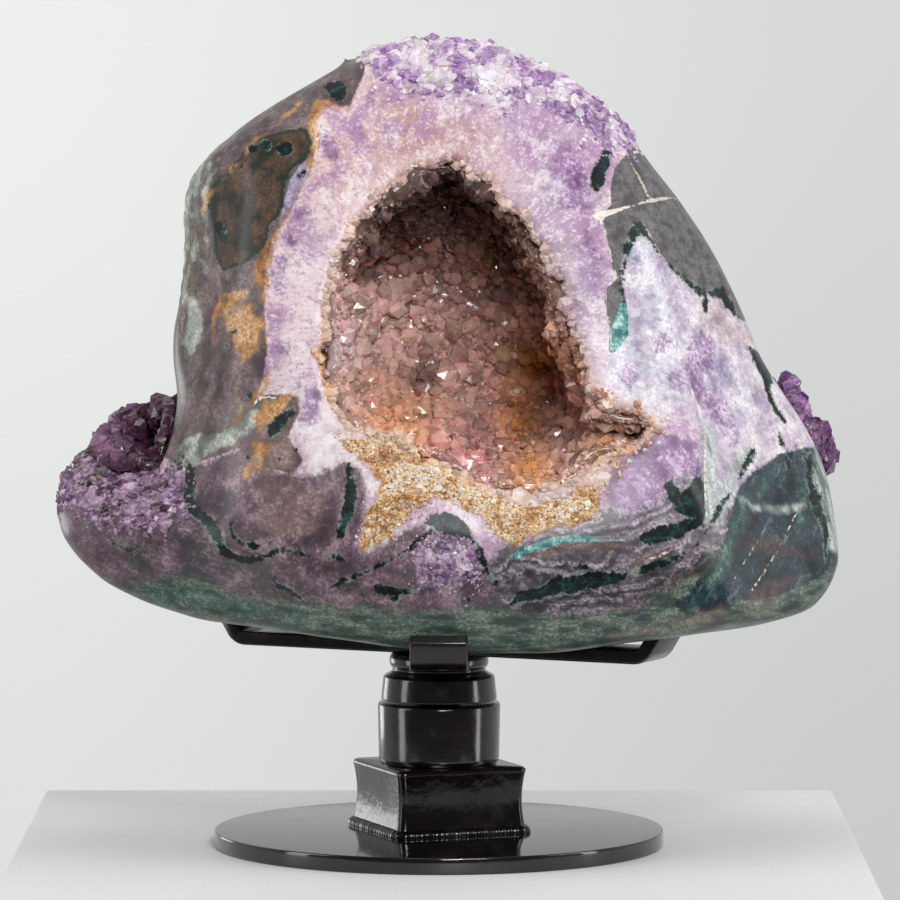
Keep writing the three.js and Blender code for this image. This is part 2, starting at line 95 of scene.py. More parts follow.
def wire(tree, node, wires):
    """Sets a node's sockets, from other sockets or plain values."""
    for name, value in wires.items():
        if isinstance(value, bpy.types.NodeSocket):
            tree.links.new(value, node.inputs[name])
        else:
            node.inputs[name].default_value = value


def add(tree, kind, wires=None, **settings):
    """A new shader node, with its settings and its sockets set."""
    made = tree.nodes.new("ShaderNode" + kind)
    for name, value in settings.items():
        setattr(made, name, value)
    wire(tree, made, wires or {})
    return made


def mixed(tree, share, under, over, blend="MIX"):
    return add(tree, "Mix", {0: share, 6: under, 7: over}, data_type="RGBA", blend_type=blend).outputs[2]


def sum_of(tree, operation, first, second=0.0):
    return add(tree, "Math", {0: first, 1: second}, operation=operation).outputs[0]


def plus(tree, first, second):
    return sum_of(tree, "ADD", first, second)


def times(tree, first, second):
    return sum_of(tree, "MULTIPLY", first, second)


def grey(tree, value):
    return add(tree, "CombineXYZ", {0: value, 1: value, 2: value}).outputs[0]


def eased(tree, value, low, high, to_low=0.0, to_high=1.0):
    """Maps a value smoothly from one range to another, and holds it at both ends."""
    sockets = {0: value, 1: low, 2: high, 3: to_low, 4: to_high}
    return add(tree, "MapRange", sockets, interpolation_type="SMOOTHSTEP").outputs[0]


def object_place(tree):
    """Where a point is on the object, so that a pattern stays in the stone when it turns."""
    return add(tree, "TexCoord").outputs["Object"]


def new_group(name, inputs, outputs):
    """A node group with named sockets. Its inputs are (name, start value) pairs."""
    group = bpy.data.node_groups.new(name, "ShaderNodeTree")
    for label, start in inputs:
        kind = "NodeSocketColor" if isinstance(start, tuple) else "NodeSocketFloat"
        socket = group.interface.new_socket(name=label, in_out="INPUT", socket_type=kind)
        socket.default_value = start
    for label, kind in outputs:
        group.interface.new_socket(name=label, in_out="OUTPUT", socket_type="NodeSocket" + kind)
    return group, group.nodes.new("NodeGroupInput").outputs, group.nodes.new("NodeGroupOutput").inputs


def use_group(tree, group, wires):
    made = tree.nodes.new("ShaderNodeGroup")
    made.node_tree = group
    wire(tree, made, wires)
    return made


def new_material(name):
    """A material with an empty Principled shader, and its tree."""
    material = bpy.data.materials.new(name)
    material.use_nodes = True
    shader = material.node_tree.nodes["Principled BSDF"]
    return material, material.node_tree, shader

# %% [markdown]
# ## The stage
# The geode stands on a square white plinth, whose back and side edges show in the picture. The plinth is a
# bevelled block. The backdrop is the world's own colour, a little brighter at the top left.

# %% Plinth
PLINTH_LEFT, PLINTH_RIGHT = -0.330, 0.329
PLINTH_FRONT, PLINTH_BACK = -0.318, 0.343
PLINTH_HEIGHT = 1.0

def make_plinth():
    shape = bmesh.new()
    bmesh.ops.create_cube(shape, size=1)
    for corner in shape.verts:
        corner.co.x = PLINTH_LEFT if corner.co.x < 0 else PLINTH_RIGHT
        corner.co.y = PLINTH_FRONT if corner.co.y < 0 else PLINTH_BACK
        corner.co.z = -PLINTH_HEIGHT if corner.co.z < 0 else 0
    bmesh.ops.bevel(shape, geom=shape.edges[:], offset=0.002, segments=3, affect="EDGES", profile=0.5)
    mesh = bpy.data.meshes.new("plinth")
    shape.to_mesh(mesh)
    shape.free()
    plinth = bpy.data.objects.new("plinth", mesh)
    bpy.context.scene.collection.objects.link(plinth)
    material, tree, shader = new_material("plinth_paint")
    patches = add(tree, "TexNoise", {"Vector": object_place(tree), "Scale": 3.0, "Detail": 4.0})
    tint = mixed(tree, patches.outputs[0], colour(228, 228, 226), colour(238, 239, 241))
    tree.links.new(tint, shader.inputs["Base Color"])
    tree.links.new(eased(tree, patches.outputs[0], 0.3, 0.7, 0.42, 0.55), shader.inputs["Roughness"])
    mesh.materials.append(material)
    print("plinth", round(PLINTH_RIGHT - PLINTH_LEFT, 3), "m wide")


make_plinth()

# %% [markdown]
# ## Light
# A studio light for stones is a few large soft boxes. The brightest is high on the right, because the
# hollow's left wall and floor are the lit ones in the picture. A second one near the camera reaches the
# hollow's back, and a small hard one makes the crystals spark. The room in front is dark, which keeps the
# steel black. A tall strip at each side and a low box behind draw the bright bands down the edges of the
# turned steel. The backdrop is bright, but a Light Path switch gives the camera that brightness and the
# object a softer one.

# %% Soft boxes and backdrop
SOFT_BOXES = [
    # name, place, aim, size in metres, watts
    ("key_front", (0.9, -3.1, 2.2), (0.02, -0.05, 0.38), (1.1, 1.1), 50),
    ("hollow_front", (0.45, -4.2, 1.5), (0.0, 0.0, 0.36), (0.7, 0.7), 42),
    ("spark", (0.7, -3.4, 2.1), (0.0, 0.0, 0.38), (0.14, 0.14), 13),
    ("fill_left", (-2.9, -0.9, 1.7), (-0.05, 0, 0.35), (1.4, 1.4), 20),
    ("side_right", (2.6, -0.6, 1.7), (0.05, 0, 0.35), (1.4, 1.4), 20),
    ("top", (0.1, -0.4, 3.0), (0, 0, 0.4), (1.6, 1.6), 14),
    ("strip_left", (-1.9, -0.55, 0.25), (0, 0, 0.1), (0.45, 1.3), 6),
    ("strip_right", (1.9, -0.35, 0.25), (0, 0, 0.1), (0.3, 1.3), 5),
    ("strip_back", (-1.75, 1.85, 0.1), (0, 0, 0.08), (0.8, 0.7), 5),
]

def make_soft_box(name, place, aim, size, watts):
    data = bpy.data.lights.new(name, "AREA")
    data.shape = "RECTANGLE"
    data.size, data.size_y = size
    data.energy = watts
    light = bpy.data.objects.new(name, data)
    light.location = place
    light.rotation_euler = (Vector(aim) - Vector(place)).to_track_quat("-Z", "Y").to_euler()
    bpy.context.scene.collection.objects.link(light)


def make_backdrop():
    world = bpy.data.worlds.new("backdrop")
    bpy.context.scene.world = world
    world.use_nodes = True
    tree = world.node_tree
    tree.nodes.clear()
    way = add(tree, "SeparateXYZ", {0: add(tree, "TexCoord").outputs["Generated"]})
    sideways = eased(tree, way.outputs[0], -0.08, 0.08)
    upward = eased(tree, way.outputs[2], -0.15, 0.0, 0.86, 1.0)
    seen = mixed(tree, sideways, colour(238, 240, 237), colour(215, 217, 216))
    seen = mixed(tree, 1.0, seen, grey(tree, upward), "MULTIPLY")
    room = grey(tree, eased(tree, way.outputs[1], -0.7, 0.4, 0.1, 0.5))
    for_camera = add(tree, "LightPath").outputs["Is Camera Ray"]
    shown = add(tree, "Background", {"Color": mixed(tree, for_camera, room, seen)})
    tree.links.new(shown.outputs[0], add(tree, "OutputWorld").inputs["Surface"])


for soft_box in SOFT_BOXES:
    make_soft_box(*soft_box)
make_backdrop()
bpy.context.scene.view_settings.view_transform = "Standard"
print(len(SOFT_BOXES), "soft boxes")

# %% [markdown]
# ## From arrays to pieces
# Turned steel, bent bars and thousands of crystals are all made as arrays of points, then handed to Blender
# in one go. The helper below turns such arrays into a piece, gives it a finish, ties it to the body it
# moves with, and hides the solid that it stands for.

# %% Helper that makes a piece
def make_piece(name, points, faces, material, body, stands_for=(), smooth=True):
    """A piece from points in metres. smooth is one answer for the whole piece or one for each face."""
    mesh = bpy.data.meshes.new(name)
    mesh.from_pydata(np.asarray(points).tolist(), [], faces)
    smooth_faces = np.broadcast_to(np.asarray(smooth, bool), len(faces)).tolist()
    mesh.polygons.foreach_set("use_smooth", smooth_faces)
    mesh.materials.append(material)
    mesh.update()
    piece = bpy.data.objects.new(name, mesh)
    bpy.context.scene.collection.objects.link(piece)
    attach(piece, body)
    if stands_for:
        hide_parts(*stands_for)
    print(name, len(mesh.polygons), "faces")
    return piece


def ring_faces(rings, sides, closed=True):
    """Quads between rings of equally many points, that are stored one ring after the other."""
    steps = range(sides if closed else sides - 1)
    return [
        (r * sides + s, r * sides + (s + 1) % sides, (r + 1) * sides + (s + 1) % sides, (r + 1) * sides + s)
        for r in range(rings - 1)
        for s in steps
    ]


def rounded_corners(outline, radius, steps=4):
    """The same outline with each inner corner replaced by a short arc."""
    corners = [np.array(p, float) for p in outline]
    made = [corners[0]]
    for before, corner, after in zip(corners, corners[1:], corners[2:]):
        back, on = before - corner, after - corner
        reach = min(radius, 0.45 * np.linalg.norm(back), 0.45 * np.linalg.norm(on))
        start = corner + back / np.linalg.norm(back) * reach
        end = corner + on / np.linalg.norm(on) * reach
        for t in np.linspace(0, 1, steps + 1):
            made.append((1 - t) ** 2 * start + 2 * t * (1 - t) * corner + t**2 * end)
    made.append(corners[-1])
    return made

# %% [markdown]
# ## The stand's finish
# The steel has thick black-brown paint, brushed on by hand. Up close it isn't one black: it pools, thins
# over edges and keeps faint brush ripples. One node group makes that, and the plate, block and bars each
# take it with their own gloss. Paint is not a metal to a shader, so Metallic stays at 0 and the clear coat
# gives the gloss.

# %% Brushed paint as a node group
def make_paint_group():
    group, given, out = new_group(
        "brushed_paint",
        [("Thick", colour(10, 8, 10)), ("Thin", colour(52, 42, 38)), ("Patch size", 30.0),
         ("Smooth", 0.12), ("Dull", 0.4), ("Lay", 1.0)],
        [("Colour", "Color"), ("Roughness", "Float"), ("Height", "Float")],
    )
    place = object_place(group)
    cloud_wires = {"Vector": place, "Scale": given["Patch size"], "Detail": 5.0, "Roughness": 0.6}
    cloud = add(group, "TexNoise", cloud_wires)
    thin = eased(group, cloud.outputs[0], 0.46, 0.72)
    group.links.new(mixed(group, thin, given["Thick"], given["Thin"]), out["Colour"])
    specks = add(group, "TexNoise", {"Vector": place, "Scale": 260.0, "Detail": 3.0})
    dullness = plus(group, times(group, thin, 0.6), times(group, specks.outputs[0], 0.5))
    gap = sum_of(group, "SUBTRACT", given["Dull"], given["Smooth"])
    group.links.new(plus(group, given["Smooth"], times(group, dullness, gap)), out["Roughness"])
    ripple = add(group, "TexNoise", {"Vector": place, "Scale": 95.0, "Detail": 2.0})
    height = plus(group, ripple.outputs[0], times(group, specks.outputs[0], 0.25))
    group.links.new(times(group, height, given["Lay"]), out["Height"])
    return group


PAINT = make_paint_group()

def make_paint(name, thick, thin, patch_size, smooth, dull, lay, coat):
    material, tree, shader = new_material(name)
    paint = use_group(tree, PAINT, {
        "Thick": thick, "Thin": thin, "Patch size": patch_size, "Smooth": smooth, "Dull": dull, "Lay": lay,
    })
    tree.links.new(paint.outputs["Colour"], shader.inputs["Base Color"])
    tree.links.new(paint.outputs["Roughness"], shader.inputs["Roughness"])
    bump = add(tree, "Bump", {"Height": paint.outputs["Height"], "Strength": 0.35, "Distance": 0.0006})
    tree.links.new(bump.outputs[0], shader.inputs["Normal"])
    shader.inputs["Specular IOR Level"].default_value = coat
    shader.inputs["Coat Weight"].default_value = coat
    shader.inputs["Coat Roughness"].default_value = 0.08
    return material


# Name, thick and thin paint, patch size, roughness where smooth and where dull, brush ripple, clear coat
plate_paint = make_paint("plate_paint", colour(10, 6, 8), colour(26, 18, 19), 14, 0.07, 0.18, 0.3, 0.5)
block_paint = make_paint("block_paint", colour(11, 5, 9), colour(34, 30, 27), 34, 0.1, 0.26, 2.4, 0.32)
turned_paint = make_paint("turned_paint", colour(12, 7, 9), colour(34, 22, 22), 46, 0.12, 0.28, 1.0, 0.5)
bar_paint = make_paint("bar_paint", colour(16, 10, 13), colour(34, 24, 24), 40, 0.16, 0.34, 1.0, 0.35)
print("four paints from one node group")

# %% [markdown]
# ## Turned parts of the stand
# The plate, the bearing housing and the collar are round, so each is a profile spun round the swivel's
# axis. Their edges are rounded by about a millimetre: thick paint has no sharp edge, and it is the rounded
# edge that catches the light. The spindle is hidden inside the housing and stays as the solid has it.

# %% Plate, housing and collar
PLATE_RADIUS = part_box("base_plate")[1].x / MM
PLATE_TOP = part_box("base_plate")[1].z / MM
BLOCK_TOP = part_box("pinched_block")[1].z / MM
HOUSING_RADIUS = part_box("bearing_housing")[1].x / MM
HOUSING_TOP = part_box("bearing_housing")[1].z / MM
COLLAR_RADIUS = 45.5
COLLAR_BOTTOM = HOUSING_TOP + 1.8
COLLAR_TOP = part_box("swivel_collar")[1].z / MM
SHOULDER = COLLAR_BOTTOM + 19
SPINDLE_RADIUS = 16
SPINDLE_LENGTH = 36
BORE_RADIUS = 16.6
BORE_DEPTH = 38
TURNED_SIDES = 144

def turned_piece(name, profile, edge, material, body, stands_for):
    """A piece spun round the axis from (radius, height) points in millimetres."""
    outline = rounded_corners(profile, edge)
    turns = np.arange(TURNED_SIDES) * 2 * math.pi / TURNED_SIDES
    inner = [(max(radius, 0.01), height) for radius, height in outline]
    points = [
        (radius * math.cos(turn) * MM, radius * math.sin(turn) * MM, height * MM)
        for radius, height in inner
        for turn in turns
    ]
    return make_piece(
        name, points, ring_faces(len(inner), TURNED_SIDES), material, body, [stands_for]
    )


turned_piece(
    "painted_plate",
    [(0, 0), (PLATE_RADIUS, 0), (PLATE_RADIUS, PLATE_TOP), (0, PLATE_TOP)],
    1.6, plate_paint, "base", "base_plate",
)
turned_piece(
    "painted_housing",
    [
        (0, BLOCK_TOP), (HOUSING_RADIUS - 2.5, BLOCK_TOP), (HOUSING_RADIUS - 0.8, BLOCK_TOP + 4),
        (HOUSING_RADIUS, HOUSING_TOP - 2), (HOUSING_RADIUS - 1.2, HOUSING_TOP),
        (BORE_RADIUS, HOUSING_TOP), (BORE_RADIUS, HOUSING_TOP - BORE_DEPTH), (0, HOUSING_TOP - BORE_DEPTH),
    ],
    1.5, turned_paint, "base", "bearing_housing",
)
turned_piece(
    "painted_collar",
    [
        (0, HOUSING_TOP - SPINDLE_LENGTH), (SPINDLE_RADIUS, HOUSING_TOP - SPINDLE_LENGTH),
        (SPINDLE_RADIUS, COLLAR_BOTTOM), (COLLAR_RADIUS, COLLAR_BOTTOM),
        (COLLAR_RADIUS - 2, SHOULDER), (37.8, SHOULDER + 3), (36, SHOULDER + 5), (38.7, SHOULDER + 9),
        (38.9, SHOULDER + 14), (36.9, COLLAR_TOP), (0, COLLAR_TOP),
    ],
    1.6, turned_paint, "turntable", "swivel_collar",
)

# %% [markdown]
# ## The pinched block
# Under the housing stands a short length of thick square tube. Heat from welding has drawn its walls in,
# and its lips roll outwards. It is a stack of rounded squares, pinched in the middle rows, and it stands
# turned on the plate. A knobbly weld bead runs round its foot, made as a tube whose thickness swells and
# shrinks.

# %% Block and its weld bead
BLOCK_HALF = 54.25
BLOCK_TURN = math.radians(21.5)
BLOCK_PINCH = 3
BLOCK_LIP = 2.4
BLOCK_CORNER = 6
BLOCK_ROWS = 30
CORNER_STEPS = 8
QUARTERS = [(1, 1), (-1, 1), (-1, -1), (1, -1)]
WELD_RADIUS = 4.2
WELD_SPACING = 0.0013
WELD_SIDES = 10
SWELL_LENGTH = 4.6

def rounded_square(half, corner, height):
    """A ring of points round a square with rounded corners, turned as the block is."""
    ring = []
    for quarter in range(4):
        middle = np.array(QUARTERS[quarter]) * (half - corner)
        for step in range(CORNER_STEPS + 1):
            bend = (quarter + step / CORNER_STEPS) * math.pi / 2
            x, y = middle + corner * np.array([math.cos(bend), math.sin(bend)])
            ring.append((x, y))
        next_middle = np.array(QUARTERS[(quarter + 1) % 4]) * (half - corner)
        bend = (quarter + 1) * math.pi / 2
        out = corner * np.array([math.cos(bend), math.sin(bend)])
        for share in (0.12, 0.3, 0.5, 0.7, 0.88):
            ring.append(tuple(middle + (next_middle - middle) * share + out))
    cos, sin = math.cos(BLOCK_TURN), math.sin(BLOCK_TURN)
    return [((x * cos - y * sin) * MM, (x * sin + y * cos) * MM, height * MM) for x, y in ring]


def make_block():
    tall = BLOCK_TOP - PLATE_TOP
    rings = [rounded_square(2, 1, PLATE_TOP)]
    for row in range(BLOCK_ROWS + 1):
        share = row / BLOCK_ROWS
        lip = BLOCK_LIP * (1 - min(1, share * tall / BLOCK_LIP, (1 - share) * tall / BLOCK_LIP)) ** 2
        half = BLOCK_HALF - BLOCK_PINCH * math.sin(math.pi * share) ** 0.8 - lip
        rings.append(rounded_square(half, BLOCK_CORNER, PLATE_TOP + tall * share))
    rings.append(rounded_square(2, 1, BLOCK_TOP))
    sides = len(rings[0])
    points = [point for ring in rings for point in ring]
    faces = ring_faces(len(rings), sides)
    make_piece("painted_block", points, faces, block_paint, "base", ["pinched_block"])


def bead_along(name, path, radius, seed, material):
    """A closed weld bead along a path of (x, y, z) in metres. Its tube swells every few millimetres."""
    path = np.array(path)
    steps = np.linalg.norm(np.roll(path, -1, 0) - path, axis=1)
    run = np.cumsum(steps) / MM
    random = np.random.default_rng(seed)
    ripple = np.abs(np.sin(run / SWELL_LENGTH * math.pi + 1.4 * np.sin(run / 19)))
    swelling = 1 + 0.22 * ripple + 0.1 * random.random(len(path))
    along = np.roll(path, -1, 0) - np.roll(path, 1, 0)
    along /= np.linalg.norm(along, axis=1)[:, None]
    sideways = np.cross(along, (0, 0, 1))
    turns = np.linspace(0, 2 * math.pi, WELD_SIDES, endpoint=False)
    rings = [
        middle + radius * MM * swell * (math.cos(turn) * side + math.sin(turn) * np.array([0, 0, 1]))
        for middle, side, swell in zip(path, sideways, swelling)
        for turn in turns
    ]
    faces = ring_faces(len(path), WELD_SIDES)
    last = (len(path) - 1) * WELD_SIDES
    faces += [(last + s, last + (s + 1) % WELD_SIDES, (s + 1) % WELD_SIDES, s) for s in range(WELD_SIDES)]
    return make_piece(name, rings, faces, material, "base")


def dense_loop(ring, spacing):
    """The same closed loop with a point every few millimetres."""
    made = []
    for start, end in zip(ring, ring[1:] + ring[:1]):
        start, end = np.array(start), np.array(end)
        count = max(1, int(np.linalg.norm(end - start) / spacing))
        made += [start + (end - start) * n / count for n in range(count)]
    return made


make_block()
foot_ring = rounded_square(BLOCK_HALF - 1.2, BLOCK_CORNER + 0.5, PLATE_TOP + 1.2)
bead_along("block_foot_weld", dense_loop(foot_ring, WELD_SPACING), WELD_RADIUS, 4, block_paint)

# %% [markdown]
# ## The cradle
# Three flat bars carry the stone: a long one from left to right, and a short arm to the front and to the
# back. Each bar is a rounded rectangle carried along a line that runs straight and then bends up under the
# stone. The end faces have softened rims, because the bars were ground before they were painted.

# %% Bent bars
BAR_WIDTH = 44
BAR_THICKNESS = 11
BAR_TOP = 163
BAR_TURN = math.radians(-26)
BEND_RADIUS = 7
BEND_RISE = math.radians(59)
BAR_EDGE = 1.7
BAR_TIP = 23
ARM_TIP = 17
ARM_GAP = 0.3
ARM_START = BAR_WIDTH / 2 / math.cos(BAR_TURN) + BAR_WIDTH / 2 * math.tan(-BAR_TURN) + ARM_GAP
RIGHT_REACH, LEFT_REACH, FRONT_REACH, BACK_REACH = 176, 161, 140, 104

def bar_line(reach, tip, start=None):
    """Stations along a bar's middle: distance from the axis, height, and the way it runs there."""
    middle = BAR_TOP - BAR_THICKNESS / 2
    radius = BEND_RADIUS + BAR_THICKNESS / 2
    stations = [] if start is None else [(start, middle, 0.0)]
    for turn in np.linspace(0, BEND_RISE, 13):
        rise = BEND_RADIUS - radius * math.cos(turn)
        stations.append((reach + radius * math.sin(turn), BAR_TOP + rise, turn))
    far, high, turn = stations[-1]
    stations.append((far + tip * math.cos(turn), high + tip * math.sin(turn), turn))
    return stations


def bar_section(inset):
    """A rounded rectangle across the bar, taken in by some distance: (sideways, upwards) points."""
    ring = []
    for quarter, (sx, sz) in enumerate(QUARTERS):
        middle = np.array([sx * (BAR_WIDTH / 2 - BAR_EDGE), sz * (BAR_THICKNESS / 2 - BAR_EDGE)])
        for step in range(5):
            bend = (quarter + step / 4) * math.pi / 2
            ring.append(middle + (BAR_EDGE - inset) * np.array([math.cos(bend), math.sin(bend)]))
    return ring


def make_bar(name, stations, way, stands_for):
    """A bar along its stations, with rounded ends, seen from the axis in the given way."""
    first, last = stations[0], stations[-1]

    def shifted(station, run):
        far, high, turn = station
        return (far + run * math.cos(turn), high + run * math.sin(turn), turn)

    rounding = [(0.0, BAR_EDGE * 0.96), (BAR_EDGE * 0.3, BAR_EDGE * 0.3), (BAR_EDGE, 0.0)]
    line = [(shifted(first, run), inset) for run, inset in rounding]
    line += [(station, 0.0) for station in stations[1:-1]]
    line += [(shifted(last, -run), inset) for run, inset in reversed(rounding)]
    points = []
    for (far, high, turn), inset in line:
        for side, up in bar_section(inset):
            run = far - up * math.sin(turn)
            x = run * math.cos(way) - side * math.sin(way)
            y = run * math.sin(way) + side * math.cos(way)
            points.append((x * MM, y * MM, (high + up * math.cos(turn)) * MM))
    sides = len(bar_section(0))
    faces = ring_faces(len(line), sides)
    faces += [tuple(range(sides)), tuple(range(len(points) - sides, len(points)))]
    make_piece(name, points, faces, bar_paint, "turntable", [stands_for],
               smooth=[True] * (len(faces) - 2) + [False] * 2)


right_side = bar_line(RIGHT_REACH, BAR_TIP)
left_side = [(-far, high, -turn) for far, high, turn in reversed(bar_line(LEFT_REACH, BAR_TIP))]
make_bar("painted_long_bar", left_side + right_side, BAR_TURN, "cradle_bar")
make_bar("painted_front_arm", bar_line(FRONT_REACH, ARM_TIP, ARM_START), -math.pi / 2, "front_arm")
make_bar("painted_back_arm", bar_line(BACK_REACH, ARM_TIP, ARM_START), math.pi / 2, "back_arm")

# %% [markdown]
# ## The stone's shape
# The stone starts from its solid. A voxel remesh gives it an even skin of points 3.5 millimetres apart, and
# smoothing then takes away the solid's flat facets. Noise moves the points a little: strongly on the
# natural skin at the back and left, hardly at all where the stone is polished, and as small teeth round the
# mouth.

# %% Tools for shaping the stone
VOXEL = 3.5 * MM

def free_copy(node, voxel):
    """A solid's shape as points and faces, remeshed to an even skin."""
    shape = bmesh.new()
    shape.from_mesh(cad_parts[node].data)
    bmesh.ops.remove_doubles(shape, verts=shape.verts[:], dist=1e-6)
    mesh = bpy.data.meshes.new("rough")
    shape.to_mesh(mesh)
    shape.free()
    rough = bpy.data.objects.new("rough", mesh)
    bpy.context.scene.collection.objects.link(rough)
    remesh = rough.modifiers.new("even", "REMESH")
    remesh.mode = "VOXEL"
    remesh.voxel_size = voxel
    even = bpy.data.meshes.new_from_object(rough.evaluated_get(bpy.context.evaluated_depsgraph_get()))
    points = np.empty(len(even.vertices) * 3)
    even.vertices.foreach_get("co", points)
    edges = np.empty(len(even.edges) * 2, int)
    even.edges.foreach_get("vertices", edges)
    faces = [tuple(face.vertices) for face in even.polygons]
    bpy.data.objects.remove(rough)
    return points.reshape(-1, 3), edges.reshape(-1, 2), faces


def smoothed(points, edges, share, rounds):
    """Moves each point towards the middle of its neighbours, by its own share, some rounds over."""
    count = np.bincount(edges.ravel(), minlength=len(points))[:, None]
    for _ in range(rounds):
        total = np.column_stack([
            np.bincount(edges[:, 0], points[edges[:, 1], axis], len(points))
            + np.bincount(edges[:, 1], points[edges[:, 0], axis], len(points))
            for axis in range(3)
        ])
        points = points + share[:, None] * (total / count - points)
    return points


def normals_of(points, faces):
    mesh = bpy.data.meshes.new("normals")
    mesh.from_pydata(points.tolist(), [], faces)
    normals = np.empty(len(points) * 3)
    mesh.vertices.foreach_get("normal", normals)
    bpy.data.meshes.remove(mesh)
    return normals.reshape(-1, 3)


def lumps(points, size, seed=0.0, octaves=0):
    """Smooth noise between about -1 and 1 at each point, with lumps of a size in millimetres."""
    scaled = points / (size * MM) + seed
    if octaves:
        return np.array([noise.fractal(Vector(p), 0.9, 2.0, octaves) for p in scaled])
    return np.array([noise.noise(Vector(p)) for p in scaled])

# %% [markdown]
# The markings are drawn as outlines in the picture's own points, 900 to a side, because that is how the
# polished face is seen. A point of the stone is carried into the picture from the eye, and its distance to
# each outline is measured there. Inside is negative. Behind the front face the point is first pushed about
# by noise, as real bands wander through a stone, so the sides don't show the outline drawn out like a
# cookie cutter.

# %% Tools for outlines in the picture
FOCAL = LENS_MM / SENSOR_MM * PICTURE_SIDE
POINTS_PER_MM = FOCAL * MM / -EYE[1]

def in_picture(points):
    """Where points of the object come in the picture, in its points from the top left corner."""
    away = points - EYE
    deep = away[:, 1] * math.cos(LOOKS_DOWN) - away[:, 2] * math.sin(LOOKS_DOWN)
    up = away[:, 1] * math.sin(LOOKS_DOWN) + away[:, 2] * math.cos(LOOKS_DOWN)
    half = PICTURE_SIDE / 2
    return np.column_stack((half + FOCAL * away[:, 0] / deep, half - FOCAL * up / deep))


def to_segment(places, start, end):
    """Distance to a straight stretch, and how far along it the nearest place is."""
    start, end = np.array(start, float), np.array(end, float)
    way = end - start
    share = np.clip((places - start) @ way / max(way @ way, 1e-9), 0, 1)
    return np.linalg.norm(places - start - share[:, None] * way, axis=1), share


def to_area(places, outline):
    """Signed distance to a closed outline."""
    nearest = np.full(len(places), 1e9)
    inside = np.zeros(len(places), bool)
    for (u0, v0), (u1, v1) in zip(outline, outline[1:] + outline[:1]):
        nearest = np.minimum(nearest, to_segment(places, (u0, v0), (u1, v1))[0])
        if v0 != v1:
            crosses = (v0 > places[:, 1]) != (v1 > places[:, 1])
            inside ^= crosses & (places[:, 0] < (u1 - u0) * (places[:, 1] - v0) / (v1 - v0) + u0)
    return np.where(inside, -nearest, nearest)


def to_stroke(places, stroke):
    """Signed distance to a drawn stroke of (u, v, half width) points."""
    nearest = np.full(len(places), 1e9)
    for (u0, v0, w0), (u1, v1, w1) in zip(stroke, stroke[1:]):
        far, share = to_segment(places, (u0, v0), (u1, v1))
        nearest = np.minimum(nearest, far - w0 - share * (w1 - w0))
    return nearest


def to_spots(places, spots):
    """Signed distance to round spots of (u, v, radius)."""
    return np.min([np.hypot(places[:, 0] - u, places[:, 1] - v) - r for u, v, r in spots], axis=0)


def to_marking(places, areas=(), strokes=(), spots=()):
    """Signed distance in millimetres to the nearest of a marking's areas, strokes and spots."""
    found = [to_area(places, area) for area in areas] + [to_stroke(places, stroke) for stroke in strokes]
    if spots:
        found.append(to_spots(places, spots))
    return np.min(found, axis=0) / POINTS_PER_MM
